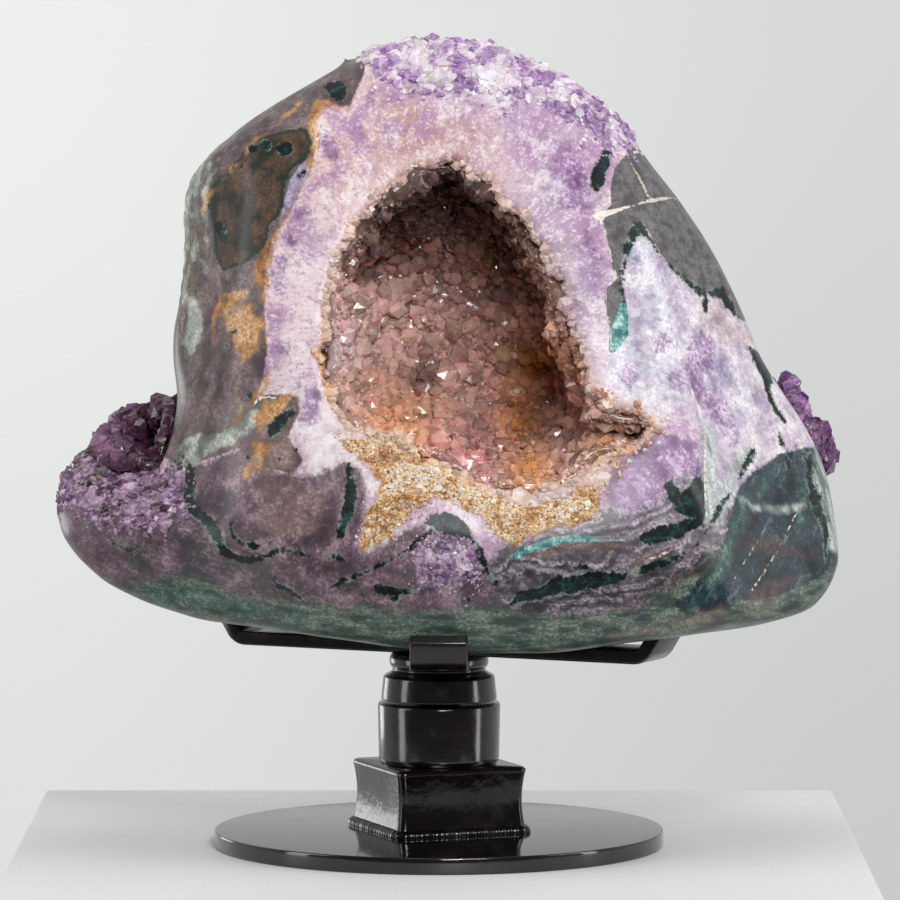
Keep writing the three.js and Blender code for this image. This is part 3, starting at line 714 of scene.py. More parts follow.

# %% [markdown]
# Each marking is a list of areas, strokes or spots. The names say what mineral it is, and some also say where
# a painted highlight or reflection lies over it.

# %% Outlines of the hollow's mouth and the large bands
MOUTH = [
    (325, 330), (322, 360), (325, 385), (335, 410), (345, 430), (380, 440), (420, 455), (470, 480),
    (520, 497), (560, 490), (600, 475), (615, 460), (650, 430), (610, 430), (600, 410), (601, 390),
    (586, 365), (575, 330), (565, 290), (545, 255), (520, 225), (500, 200), (470, 180), (430, 170),
    (410, 180), (385, 200), (365, 215), (350, 240), (333, 270), (325, 300),
]
BANDS = {
    "lower_amethyst": [[
        (30, 430), (160, 470), (207, 463), (239, 447), (252, 440), (262, 470), (308, 478), (330, 468),
        (344, 460), (358, 470), (366, 490), (364, 520), (357, 545), (362, 552), (391, 540), (424, 521),
        (430, 540), (415, 560), (420, 585), (500, 560), (540, 560), (640, 560), (740, 540), (860, 560),
        (860, 700), (20, 700), (20, 520),
    ]],
    "lower_right_agate": [[
        (556, 505), (600, 512), (655, 500), (690, 470), (715, 470), (745, 480), (735, 530), (712, 560),
        (690, 580), (650, 601), (600, 612), (540, 616), (505, 608), (490, 588), (487, 560), (497, 545),
        (520, 541), (554, 527),
    ]],
    "left_basalt": [[
        (364, 30), (363, 75), (352, 110), (325, 113), (315, 122), (314, 143), (309, 165), (305, 182),
        (297, 198), (289, 215), (281, 228), (272, 239), (266, 258), (263, 283), (264, 311), (267, 340),
        (268, 356), (265, 374), (258, 396), (276, 394), (298, 396), (301, 410), (293, 424), (287, 436),
        (296, 448), (303, 462), (292, 474), (276, 470), (262, 478), (246, 468), (240, 448),
        (180, 470), (140, 430), (140, 300), (150, 180), (200, 110), (300, 30),
    ]],
    "right_basalt": [[
        (626, 152), (640, 100), (780, 180), (810, 300), (762, 334), (745, 322), (733, 310), (725, 296),
        (709, 291), (699, 292), (681, 278), (670, 267), (663, 255), (653, 239), (647, 229), (635, 224),
        (629, 232), (625, 249), (621, 267), (622, 281), (625, 294), (627, 301), (628, 333), (621, 345),
        (612, 354), (609, 350), (610, 327), (605, 301), (608, 285), (618, 278), (612, 262), (608, 246),
        (603, 230), (597, 216), (609, 207), (609, 189), (612, 168),
    ]],
    "right_quartz": [[
        (635, 224), (647, 229), (653, 239), (663, 255), (670, 267), (681, 278), (699, 292), (709, 291),
        (725, 296), (733, 310), (745, 322), (762, 334), (830, 400), (840, 450), (806, 462), (770, 474),
        (742, 496), (722, 520), (706, 520), (703, 440), (680, 410), (655, 420), (625, 400), (604, 376),
        (612, 354), (621, 345), (628, 333), (627, 301), (625, 294), (622, 281), (621, 267), (625, 249),
        (629, 232),
    ]],
    "brown_patch": [[
        (305, 135), (308, 149), (297, 162), (286, 171), (281, 184), (281, 206), (272, 215), (267, 228),
        (264, 239), (250, 253), (240, 261), (223, 268), (216, 256), (216, 228), (213, 215), (211, 201),
        (215, 187), (229, 176), (234, 165), (250, 149), (270, 138), (292, 132),
    ]],
    "streaky_skin": [[
        (380, 20), (366, 48), (340, 68), (300, 92), (262, 112), (232, 136), (210, 160), (200, 182),
        (198, 215), (196, 262), (188, 300), (176, 345), (178, 380), (186, 425), (172, 440), (120, 440),
        (120, 150), (250, 30),
    ]],
    "lilac_strip": [[
        (308, 162), (297, 168), (289, 182), (283, 206), (281, 225), (289, 215), (297, 198), (305, 182),
    ]],
    # Partly a painted reflection: the pale band down the left edge stands for soft boxes mirrored in the
    # polish, over pale stone.
    "pale_strip_and_reflection": [
        [(256, 412), (240, 424), (220, 432), (200, 436), (186, 442), (170, 454), (160, 468), (172, 474),
         (186, 470), (200, 462), (214, 450), (232, 442), (248, 434), (256, 424)],
    ],
    "base_chlorite": [[
        (20, 570), (100, 578), (150, 584), (198, 579), (212, 584), (226, 596), (251, 600), (287, 604),
        (323, 606), (359, 609), (395, 612), (430, 606), (458, 604), (497, 606), (516, 611), (535, 615),
        (573, 615), (611, 610), (650, 601), (678, 585), (697, 566), (710, 548), (740, 575), (800, 570),
        (870, 530), (870, 640), (700, 700), (400, 700), (200, 670), (20, 640),
    ]],
    "right_jasper": [[
        (738, 488), (752, 474), (766, 464), (780, 456), (794, 448), (815, 446), (870, 480), (870, 540),
        (836, 566), (812, 584), (776, 596), (736, 602), (690, 618), (676, 606), (690, 590), (712, 566),
        (724, 545), (731, 510),
    ]],
    # The first two areas, upright strips at the right front, are painted reflections of soft boxes in the
    # polish over pale glassy quartz. The third is pale glassy quartz.
    "pale_glass_and_reflection": [
        [(704, 424), (712, 430), (716, 456), (718, 486), (714, 522), (707, 526), (704, 480)],
        [(728, 470), (742, 452), (754, 446), (750, 462), (738, 482), (728, 506), (718, 528), (716, 510)],
        [(804, 446), (814, 456), (824, 484), (834, 520), (840, 552), (830, 548), (820, 516), (810, 480)],
    ],
    "porous_crust": [[
        (337, 436), (355, 438), (376, 434), (391, 440), (409, 452), (431, 457), (449, 467), (468, 478),
        (483, 487), (500, 494), (512, 500), (527, 506), (542, 502), (562, 497), (577, 485), (592, 482),
        (600, 490), (598, 514), (573, 523), (554, 525), (535, 535), (516, 543), (504, 541), (493, 533),
        (485, 521), (468, 510), (454, 500), (435, 499), (426, 504), (412, 515), (401, 525), (391, 536),
        (376, 545), (362, 552), (357, 545), (364, 527), (370, 509), (377, 497), (380, 482), (371, 470),
        (362, 459), (344, 448),
    ]],
    "brown_band": [
        [(516, 560), (527, 556), (546, 550), (565, 544), (592, 542), (623, 544), (640, 546), (636, 552),
         (611, 550), (583, 551), (554, 554), (527, 560)],
        [(625, 566), (640, 555), (659, 550), (671, 549), (661, 557), (646, 563), (631, 572)],
    ],
}
print(len(BANDS), "large bands")

# %% Outlines of the small markings
TEAL_AREAS = [
    [(325, 86), (336, 84), (345, 91), (348, 103), (341, 110), (333, 102), (326, 95)],
    [(598, 146), (610, 150), (610, 166), (603, 187), (596, 191), (591, 182), (594, 164)],
    [(745, 346), (757, 359), (767, 372), (769, 382), (764, 386), (776, 400), (785, 417), (777, 411),
     (761, 386), (752, 368)],
    [(665, 483), (673, 475), (674, 485), (682, 497), (690, 485), (701, 477), (705, 483), (705, 519),
     (695, 518), (678, 512), (669, 500)],
    [(640, 542), (640, 535), (657, 527), (678, 521), (690, 518), (705, 519), (703, 527), (688, 535),
     (669, 541), (650, 548)],
    [(424, 521), (426, 514), (435, 511), (447, 512), (456, 516), (466, 525), (475, 539), (483, 550),
     (487, 562), (491, 573), (500, 583), (502, 586), (493, 584), (487, 579), (481, 567), (475, 552),
     (468, 541), (458, 535), (449, 533), (439, 533), (430, 527)],
    [(294, 404), (297, 412), (289, 420), (281, 431), (270, 437), (266, 428), (275, 417), (286, 409)],
    [(629, 573), (646, 564), (667, 559), (684, 551), (699, 541), (703, 544), (680, 558), (657, 566),
     (636, 576)],
    [(510, 604), (519, 593), (542, 588), (554, 577), (585, 572), (611, 571), (630, 571), (627, 579),
     (611, 586), (585, 592), (558, 592), (539, 598)],
]
# The first stroke, down the left edge, is a painted reflection of the soft boxes in the polish. The others
# are pale stone.
PALE_AND_REFLECTION_STROKES = [
    [(238, 120, 1), (222, 136, 3), (206, 156, 5), (193, 176, 7), (188, 200, 6), (190, 224, 7), (187, 248, 8),
     (184, 268, 7), (188, 290, 5), (195, 312, 7), (192, 334, 8), (184, 350, 3)],
    [(214, 170, 1.5), (207, 196, 1), (208, 224, 1.4), (205, 250, 1), (206, 276, 0.8)],
    [(700, 428, 1), (704, 470, 1.4), (706, 520, 1)],
    [(800, 448, 1.2), (812, 462, 2), (824, 484, 3), (832, 510, 3), (836, 540, 2)],
]
TEAL_STROKES = [
    [(637, 227, 4), (629, 241, 3.5), (625, 262, 3.5), (622, 283, 3), (624, 298, 2)],
    [(638, 227, 4.5), (646, 233, 3), (655, 245, 1.3), (665, 260, 1.3), (680, 276, 1.8), (698, 290, 2.5),
     (709, 291, 3.2), (723, 295, 3.6), (733, 307, 3.4), (741, 318, 2)],
    [(704, 293, 3), (707, 308, 1.6)],
    [(189, 470, 4), (190, 485, 5), (190, 500, 4), (197, 513, 5), (209, 522, 5), (217, 535, 3.5),
     (223, 548, 2.6), (235, 557, 2), (250, 560, 2.2), (264, 557, 1.8), (278, 550, 1.8), (292, 549, 1.6),
     (305, 555, 2), (316, 557, 1.2), (327, 554, 1.4), (338, 557, 2), (344, 561, 1.2)],
    [(230, 520, 1), (232, 534, 1), (242, 543, 1.6), (260, 549, 0.8)],
    [(349, 465, 2.5), (350, 480, 4), (352, 492, 6), (349, 506, 6), (345, 520, 6), (340, 534, 4)],
    [(432, 531, 1.5), (419, 540, 2.2), (409, 549, 2.6), (397, 556, 1.4), (385, 563, 1.6), (372, 570, 2.2),
     (355, 576, 2.6), (341, 582, 2.6), (327, 590, 1.6)],
    [(376, 588, 1.4), (394, 591, 1.6), (412, 593, 1.4), (430, 586, 1.8), (446, 586, 1.4)],
    [(273, 572, 1), (276, 584, 1.8), (287, 588, 1.4), (301, 599, 0.8)],
    [(568, 570, 1), (578, 568, 5), (590, 566, 1)],
    [(752, 452, 1), (741, 478, 2.6), (722, 505, 1.6), (705, 532, 2)],
    [(54, 458, 1.2), (57, 480, 1.8), (55, 500, 1.6), (62, 522, 1.2)],
    [(112, 546, 0.8), (128, 552, 1.6), (146, 545, 0.8), (160, 552, 1), (152, 560, 0.8)],
    [(778, 432, 1.6), (782, 446, 2.6), (790, 458, 2.2), (788, 472, 1.4)],
    [(800, 450, 1), (806, 470, 2), (816, 500, 2.4), (826, 540, 1.6), (828, 562, 0.8)],
]
TEAL_SPOTS = [(233, 332, 3), (226, 345, 2.4), (243, 372, 2.6), (229, 391, 3.6), (248, 396, 2.2),
              (236, 412, 2), (252, 150, 4), (266, 145, 5), (286, 150, 6), (241, 168, 3), (218, 228, 4),
              (222, 238, 3), (300, 176, 3), (560, 580, 3), (470, 600, 3), (395, 600, 3), (120, 520, 2),
              (108, 500, 1.6)]
RUST_AREAS = [
    [(228, 318), (250, 306), (262, 326), (257, 350), (242, 364), (231, 345)],
    [(322, 102), (352, 112), (338, 115), (325, 117), (316, 125), (316, 110)],
    [(226, 291), (245, 291), (240, 305), (226, 315), (212, 313), (215, 302)],
    [(258, 262), (268, 244), (270, 262), (264, 290), (258, 283)],
    [(256, 418), (268, 402), (298, 392), (288, 407), (274, 422), (260, 427)],
    [(252, 440), (262, 436), (270, 446), (262, 462), (254, 456)],
]
RUST_STROKES = [
    [(303, 105, 0.5), (292, 114, 0.8), (275, 127, 1), (259, 138, 0.9), (250, 146, 0.6), (240, 160, 0.9),
     (231, 171, 0.8), (226, 179, 0.4)],
    [(215, 190, 0.5), (209, 201, 0.7), (204, 209, 0.4)],
    [(316, 118, 1.6), (314, 143, 0.9), (309, 165, 0.6), (300, 192, 0.5), (289, 215, 1.2), (279, 230, 2.4),
     (271, 243, 2.6), (266, 258, 2.2), (263, 283, 1.2), (264, 311, 0.8), (266, 332, 2.4), (267, 345, 1),
     (266, 374, 1.6), (260, 392, 3)],
    [(262, 338, 0.8), (248, 352, 1.6), (236, 364, 0.6)],
    [(259, 372, 0.8), (246, 384, 1.4), (230, 392, 0.5)],
    [(255, 398, 0.6), (241, 408, 1.2), (236, 420, 0.5)],
    [(216, 300, 0.6), (212, 322, 0.8), (214, 345, 0.5)],
    [(262, 436, 0.8), (254, 456, 0.8), (246, 474, 0.5)],
]
TURQUOISE_AREAS = [
    [(622, 296), (626, 303), (628, 333), (621, 345), (613, 353), (610, 348), (611, 330), (617, 315)],
    [(512, 558), (521, 548), (539, 542), (554, 537), (573, 536), (592, 537), (611, 537), (627, 539),
     (640, 544), (623, 542), (602, 541), (583, 541), (563, 542), (544, 548), (527, 554), (516, 560)],
]
AMETHYST_AREAS = [
    [(651, 336), (662, 334), (668, 342), (664, 352), (655, 352)],
    [(622, 370), (636, 368), (640, 380), (628, 388), (620, 380)],
    [(672, 370), (680, 366), (684, 382), (678, 390), (671, 384)],
    [(695, 333), (718, 340), (709, 361), (706, 391), (722, 395), (738, 425), (736, 443), (718, 420),
     (697, 398), (683, 368)],
    [(612, 452), (640, 440), (672, 432), (700, 440), (700, 470), (676, 472), (655, 500), (625, 512),
     (602, 506), (598, 480)],
    [(583, 215), (597, 232), (604, 258), (604, 285), (598, 302), (586, 290), (578, 258)],
    [(548, 140), (575, 150), (590, 190), (588, 222), (570, 210), (556, 180)],
    [(70, 470), (120, 478), (180, 476), (184, 510), (150, 530), (95, 520), (70, 500)],
    [(560, 100), (600, 120), (620, 140), (606, 148), (586, 132), (560, 118)],
]
AMETHYST_SPOTS = [
    (445, 560, 26), (462, 556, 18), (447, 50, 8), (420, 55, 7), (400, 70, 8), (417, 82, 6), (455, 87, 6),
    (530, 85, 7), (545, 100, 8), (560, 112, 6), (359, 132, 8), (325, 149, 7), (333, 155, 5),
    (303, 212, 8), (294, 239, 8), (281, 261, 4), (277, 276, 5), (278, 286, 5), (274, 320, 4),
    (278, 349, 8), (298, 383, 4), (314, 396, 6), (309, 412, 9), (372, 98, 5), (470, 70, 6), (505, 60, 6),
    (580, 150, 6),
]
CREAM_AREAS = [
    [(694, 300), (712, 294), (728, 300), (742, 320), (752, 338), (738, 344), (722, 336), (706, 322)],
    [(238, 440), (262, 430), (288, 432), (300, 452), (288, 470), (262, 474), (242, 462)],
    [(252, 486), (290, 478), (322, 500), (316, 530), (282, 536), (256, 520)],
]
WHITE_VEINS = [
    [(626, 154, 0.5), (635, 175, 0.7), (645, 197, 0.8)],
    [(682, 199, 0.5), (656, 198, 0.8), (642, 201, 1), (633, 205, 0.8), (614, 211, 1.8), (596, 216, 3.6)],
    [(597, 216, 2.4), (603, 229, 1.1), (608, 243, 0.8), (612, 258, 1), (617, 276, 1.4), (609, 284, 1),
     (606, 301, 0.7), (610, 327, 0.8), (610, 350, 1)],
    [(800, 515, 0.7), (780, 548, 0.7), (752, 590, 0.7)],
    [(705, 421, 0.8), (705, 487, 1), (707, 521, 0.7)],
    [(663, 274, 0.5), (672, 304, 0.7), (679, 338, 0.8), (690, 384, 0.7), (702, 418, 1)],
    [(640, 562, 0.8), (658, 556, 1.6), (674, 549, 1)],
    [(58, 470, 0.8), (63, 495, 0.9), (62, 515, 0.7)],
    [(770, 520, 0.4), (748, 556, 0.5), (728, 590, 0.4)],
    [(250, 408, 0.6), (262, 396, 1.6), (276, 398, 0.8)],
]
# Near-white spots. At the cleft they are white quartz. At the mouth's lower left and at the crown they are a
# painted highlight, where the light falls on the upward-tilted polished front.
WHITE_AND_HIGHLIGHT_SPOTS = [(330, 455, 24), (315, 425, 12), (505, 80, 26), (480, 60, 16), (330, 420, 14), (640, 395, 14),
               (655, 350, 16), (345, 440, 10)]
PITS = [(248, 457, 2.6), (279, 459, 2.0), (296, 450, 2.6), (278, 468, 1.6), (779, 410, 1.2), (783, 418, 1.2),
        (792, 446, 1.4), (798, 456, 1.5), (441, 524, 1.6), (601, 552, 1.4)]
CREAM_STROKES = [[(610, 636, 1), (650, 628, 2), (690, 621, 4), (730, 613, 4), (780, 600, 1)]]
PALE_GLASS_STROKES = [[(742, 498, 0.8), (754, 509, 2.6), (776, 512, 1.8), (806, 508, 2.2)]]
BROWN_FLOWS = [
    [(728, 552, 2), (748, 545, 6), (775, 546, 7), (800, 552, 5), (824, 560, 1)],
    [(640, 590, 1), (668, 582, 4), (700, 568, 5), (724, 552, 2)],
    [(736, 596, 1), (770, 590, 4), (806, 578, 2)],
]
GREEN_FLOWS = [
    [(690, 612, 2), (712, 582, 5), (728, 552, 5), (740, 518, 4), (748, 490, 2)],
    [(756, 500, 1), (766, 484, 5), (776, 466, 2)],
    [(800, 540, 1), (808, 510, 4), (806, 480, 2)],
    [(150, 596, 2), (190, 600, 6), (240, 606, 5), (300, 618, 2)],
]
BOTTOM_LINE = [
    (40, 530, 0), (90, 580, 0), (150, 606, 0), (226, 622, 0), (323, 634, 0), (420, 642, 0), (516, 642, 0),
    (611, 632, 0), (700, 606, 0), (760, 585, 0), (840, 560, 0),
]
LOBE_LINE = [(690, 640, 0), (735, 560, 0), (765, 500, 0), (800, 462, 0), (815, 430, 0)]
print(len(TEAL_STROKES), "teal veins and", len(WHITE_VEINS), "white ones")

# %% All markings by name
MARKINGS = {name: {"areas": areas} for name, areas in BANDS.items()}
MARKINGS["pale_strip_and_reflection"]["strokes"] = PALE_AND_REFLECTION_STROKES
MARKINGS["pale_glass_and_reflection"]["strokes"] = PALE_GLASS_STROKES
MARKINGS |= {
    "cream_quartz": {"areas": CREAM_AREAS, "strokes": CREAM_STROKES},
    "brown_flow": {"strokes": BROWN_FLOWS},
    "green_flow": {"strokes": GREEN_FLOWS},
    "teal": {"areas": TEAL_AREAS, "strokes": TEAL_STROKES, "spots": TEAL_SPOTS},
    "rust": {"areas": RUST_AREAS, "strokes": RUST_STROKES},
    "turquoise": {"areas": TURQUOISE_AREAS},
    "amethyst": {"areas": AMETHYST_AREAS, "spots": AMETHYST_SPOTS},
    "white_vein": {"strokes": WHITE_VEINS},
    "white_quartz_and_highlight": {"spots": WHITE_AND_HIGHLIGHT_SPOTS},
    "pits": {"spots": PITS},
    "mouth": {"areas": [MOUTH]},
    "from_bottom": {"strokes": [BOTTOM_LINE]},
    "from_lobe": {"strokes": [LOBE_LINE]},
}
print(len(MARKINGS), "markings")

# %% [markdown]
# Now the shape itself. The smoothing is weak in a band round the mouth, so its edge stays crisp, and at the
# crown, which is broken stone. The mouth's edge is then pushed in and out by noise that runs round a ring.

# %% The stone is shaped
MOUTH_CENTRE = np.array([0.014, 0.404])
MOUTH_HEART = np.array([450, 330])
MOUTH_RADIUS = 110
CRISP_BAND = 9
FRONT_DEPTH = -0.06
CROWN_HEIGHT = 0.588
POLISHED_BACK = 0.045
WILD_LEFT = -0.150
WILD_ABOVE = 0.40
UNDERSIDE = 0.185
SMOOTH_ROUNDS = 25

def even_stone():
    """The solid as an even skin, smoothed by less round the mouth and at the crown."""
    points, edges, faces = free_copy("geode_stone", VOXEL)
    from_mouth = to_marking(in_picture(points), [MOUTH])
    near_edge = (np.abs(from_mouth) < CRISP_BAND) & (points[:, 1] < FRONT_DEPTH)
    crown = np.clip((points[:, 2] - CROWN_HEIGHT) / 0.02, 0, 1)
    share = np.where(near_edge, 0.12, 0.5) * (1 - 0.8 * crown)
    return smoothed(points, edges, share, SMOOTH_ROUNDS), faces, from_mouth


def wildness(points):
    """From 0 where the stone is polished to 1 on the natural skin, at the back and at the upper left."""
    wild_back = np.clip((points[:, 1] - POLISHED_BACK - 0.012 * lumps(points, 60)) / 0.03, 0, 1)
    high = np.clip((points[:, 2] - WILD_ABOVE) / 0.04, 0, 1)
    wild_left = np.clip((WILD_LEFT - points[:, 0]) / 0.03, 0, 1) * high
    return np.clip(wild_back + 0.55 * wild_left, 0, 1)


def shape_stone():
    """The stone's points after smoothing and noise, with its faces and its wildness."""
    points, faces, from_mouth = even_stone()
    normals = normals_of(points, faces)
    wild = wildness(points)
    underside = np.clip((points[:, 2] - UNDERSIDE) / 0.04, 0.12, 1)
    heave = underside * (6.5 * lumps(points, 38, 5.3) + 3.6 * lumps(points, 15, 2.1, 2))
    gentle = 0.7 * lumps(points, 46, 8.4)
    points = points + normals * ((wild * heave + (1 - wild) * gentle) * MM)[:, None]
    toothed = np.clip(1.3 - np.abs(from_mouth) / 10, 0, 1) * (points[:, 1] < FRONT_DEPTH)
    outwards = points[:, [0, 2]] - MOUTH_CENTRE
    turn = np.arctan2(outwards[:, 1], outwards[:, 0])
    ring = np.column_stack((np.cos(turn), np.sin(turn), 0 * turn)) * MOUTH_RADIUS * MM
    push = toothed * (4.2 * lumps(ring, 17, 1.7) + 3.4 * lumps(ring, 7, 3.1)) * MM
    points[:, 0] += push * np.cos(turn)
    points[:, 2] += push * np.sin(turn)
    return points, faces, wild


stone_points, stone_faces, stone_wild = shape_stone()
print("stone", len(stone_points), "points")

# %% [markdown]
# ## The stone's finish
# Three node groups do most of the work. One gives an area a ragged edge from its distance, one fills it
# with a mottled colour, and one lays flowing bands along a line. The markings are then painted over one
# another in order, as a list of layers. Roughness and bump follow the same masks: polished in front, rough
# behind.

# %% Node groups for mineral patterns
def make_edge_group():
    """A mask that is 1 inside a marking, with an edge that noise makes ragged."""
    group, given, out = new_group(
        "ragged_edge",
        [("Distance", 0.0), ("Wander", 0.0), ("Ragged", 1.0), ("Softness", 0.5)],
        [("Mask", "Float")],
    )
    moved = plus(group, given["Distance"], times(group, given["Wander"], given["Ragged"]))
    inner = times(group, given["Softness"], -1.0)
    group.links.new(eased(group, moved, inner, given["Softness"], 1.0, 0.0), out["Mask"])
    return group


def make_mottle_group():
    """Three shades of a mineral, chosen by a broad and a fine noise."""
    group, given, out = new_group(
        "mottled_mineral",
        [("Dark", colour(60, 50, 50)), ("Middle", colour(110, 100, 100)), ("Light", colour(160, 150, 150)),
         ("Broad", 0.5), ("Fine", 0.5)],
        [("Colour", "Color")],
    )
    lower = mixed(group, eased(group, given["Broad"], 0.38, 0.52), given["Dark"], given["Middle"])
    both = plus(group, times(group, given["Broad"], 0.55), times(group, given["Fine"], 0.45))
    upper = mixed(group, eased(group, both, 0.5, 0.6), lower, given["Light"])
    low_fine = eased(group, given["Fine"], 0.3, 0.45, 0.65, 0.0)
    group.links.new(mixed(group, low_fine, upper, given["Dark"]), out["Colour"])
    return group


def make_flow_group():
    """Bands that run along a line, as agate lays itself down: wide ones, and thin ones between them."""
    group, given, out = new_group(
        "flowing_bands",
        [("Distance", 0.0), ("Wander", 0.0), ("Width", 8.0)],
        [("Wide", "Float"), ("Thin", "Float")],
    )
    moved = plus(group, given["Distance"], given["Wander"])
    turn = sum_of(group, "DIVIDE", times(group, moved, 2 * math.pi), given["Width"])
    slow = sum_of(group, "SINE", times(group, turn, 0.41))
    wave = sum_of(group, "SINE", plus(group, turn, times(group, slow, 1.3)))
    group.links.new(eased(group, wave, -0.9, 0.9, 0.3, 0.7), out["Wide"])
    ripple = sum_of(group, "SINE", times(group, turn, 2.7))
    group.links.new(eased(group, times(group, ripple, wave), 0.45, 0.85), out["Thin"])
    return group


EDGE = make_edge_group()
MOTTLE = make_mottle_group()
FLOW = make_flow_group()
print("three mineral node groups")

# %% [markdown]
# Each layer has a dark, a middle and a light shade, a noise field that mixes them, and an edge. Most layers
# cover only a part of what is below, so the soft local colour of the stone still comes through them.

# %% The stone's layers, from the lowest to the topmost
STONE_LAYERS = [
    # marking, dark, middle, light, pattern, ragged, softness, strength
    # The first layer is white quartz at the cleft, and a painted highlight at the mouth's lower left and at
    # the crown.
    ("white_quartz_and_highlight", (222, 208, 214), (238, 230, 234), (250, 246, 248), "grainy", 2.4, 7.0, 0.6),
    ("lower_amethyst", (40, 26, 36), (74, 54, 64), (134, 106, 118), "clouded", 1.6, 3.0, 0.84),
    ("lower_right_agate", (54, 58, 60), (108, 100, 110), (170, 162, 172), "along_bottom", 2.0, 4.0, 0.82),
    ("left_basalt", (50, 42, 40), (86, 73, 70), (128, 110, 104), "clouded", 0.6, 1.0, 0.92),
    ("right_basalt", (76, 75, 75), (98, 96, 96), (118, 114, 113), "grainy", 0.25, 0.5, 1),
    ("right_quartz", (146, 150, 170), (202, 200, 210), (246, 244, 248), "clouded", 0.7, 1.0, 0.5),
    ("lilac_strip", (122, 108, 140), (160, 146, 174), (194, 184, 204), "grainy", 0.6, 1.2, 0.9),
    ("brown_patch", (34, 42, 34), (76, 62, 52), (106, 82, 64), "clouded", 0.7, 1.2, 1),
    ("streaky_skin", (58, 54, 54), (102, 94, 96), (158, 152, 154), "streaked", 2.0, 4.0, 0.8),
    # Pale stone, with a painted reflection of the soft boxes down the left edge.
    ("pale_strip_and_reflection", (104, 108, 102), (164, 172, 162), (214, 218, 208), "clouded", 1.8, 1.6, 0.9),
    ("base_chlorite", (46, 68, 60), (82, 108, 96), (142, 152, 132), "layered", 2.2, 5.0, 0.88),
    ("right_jasper", (10, 24, 30), (24, 48, 58), (62, 76, 80), "broad", 0.9, 1.6, 0.97),
    ("brown_flow", (44, 36, 38), (76, 62, 62), (104, 86, 84), "clouded", 2.4, 4.0, 0.75),
    ("green_flow", (30, 60, 58), (62, 100, 92), (128, 156, 142), "clouded", 2.4, 4.0, 0.7),
    # Pale glassy quartz, with painted reflections of the soft boxes at the right front.
    ("pale_glass_and_reflection", (116, 128, 122), (178, 190, 184), (222, 228, 224), "streaked", 1.2, 3.0, 0.8),
    ("cream_quartz", (122, 98, 96), (162, 134, 130), (198, 176, 162), "clouded", 2.8, 6.0, 0.42),
    ("amethyst", (104, 66, 116), (148, 110, 156), (200, 178, 206), "clouded", 2.6, 3.6, 0.78),
    ("porous_crust", (160, 112, 66), (216, 172, 120), (246, 230, 206), "grainy", 1.5, 1.4, 1),
    ("brown_band", (78, 60, 56), (112, 90, 84), (144, 120, 114), "layered", 1.0, 1.4, 0.85),
    ("rust", (132, 84, 44), (196, 140, 80), (230, 192, 140), "clouded", 2.0, 2.4, 0.8),
    ("turquoise", (48, 104, 104), (98, 160, 160), (190, 218, 212), "grainy", 0.5, 0.6, 1),
    ("teal", (8, 14, 16), (14, 32, 34), (36, 78, 72), "grainy", 1.25, 0.9, 1),
    ("white_vein", (206, 190, 176), (238, 228, 218), (252, 248, 244), "grainy", 0.25, 0.4, 0.9),
]
CRYSTALLINE = (
    "white_quartz_and_highlight", "amethyst", "lower_amethyst", "right_quartz", "lower_right_agate", "porous_crust",
)
THIN_BANDS = {
    # marking: line they follow, field that breaks them, from, to, strongest, colour
    "base_chlorite": ("from_bottom", "grainy", 0.4, 0.6, 0.75, (40, 50, 46)),
    "lower_right_agate": ("from_bottom", "grainy", 0.4, 0.6, 0.75, (40, 50, 46)),
    "right_jasper": ("from_lobe", "broad", 0.45, 0.65, 0.5, (128, 146, 150)),
}
SKIN_COLOURS = ((58, 52, 48), (96, 88, 80), (138, 130, 118))
SKIN_PATCHES = [
    # field, from, to, share at the low end, share at the high end, colour
    ("broad", 0.5, 0.64, 0.0, 0.6, (112, 86, 62)),
    ("layered", 0.5, 0.66, 0.0, 0.65, (78, 94, 82)),
    ("fine", 0.54, 0.68, 0.0, 0.6, (168, 160, 148)),
    ("weather", 0.48, 0.6, 0.0, 0.5, (152, 134, 108)),
    ("weather", 0.36, 0.46, 0.55, 0.0, (46, 42, 42)),
    ("grainy", 0.36, 0.44, 0.7, 0.0, (34, 30, 28)),
]
print(len(STONE_LAYERS), "layers over the local colour")

# %% [markdown]
# The layers share a few noise fields, which are made once. That keeps the finish quick to render, and two
# minerals that touch wander together, so no gap opens between them.

# %% Noise fields and masks
def field(tree, scale, detail, place=None):
    """A noise field, the same all through the stone."""
    wires = {"Vector": place or object_place(tree), "Scale": scale, "Detail": detail, "Roughness": 0.62}
    return add(tree, "TexNoise", wires).outputs[0]


def stretched_place(tree, upwards):
    """The place on the object with its height multiplied: below 1 draws a noise out into upright streaks."""
    wires = {0: object_place(tree), 1: (1.0, 1.0, upwards)}
    return add(tree, "VectorMath", wires, operation="MULTIPLY").outputs[0]


def centred(tree, value, strength):
    return times(tree, sum_of(tree, "SUBTRACT", value, 0.5), strength)


def point_value(tree, name):
    return add(tree, "Attribute", attribute_name=name).outputs["Fac"]


def mottled(tree, colours, broad, fine):
    dark, middle, light = (colour(*part) for part in colours)
    wires = {"Dark": dark, "Middle": middle, "Light": light, "Broad": broad, "Fine": fine}
    return use_group(tree, MOTTLE, wires).outputs["Colour"]


def edge_of(tree, name, wander, ragged, softness):
    wires = {"Distance": point_value(tree, name), "Wander": wander, "Ragged": ragged, "Softness": softness}
    return use_group(tree, EDGE, wires).outputs["Mask"]


def line_of(tree, name, wander, at, half_width):
    """A line that follows a marking's outline at some distance outside it."""
    far = plus(tree, sum_of(tree, "SUBTRACT", point_value(tree, name), at), wander)
    return eased(tree, sum_of(tree, "ABSOLUTE", far), half_width * 0.5, half_width * 1.4, 1.0, 0.0)


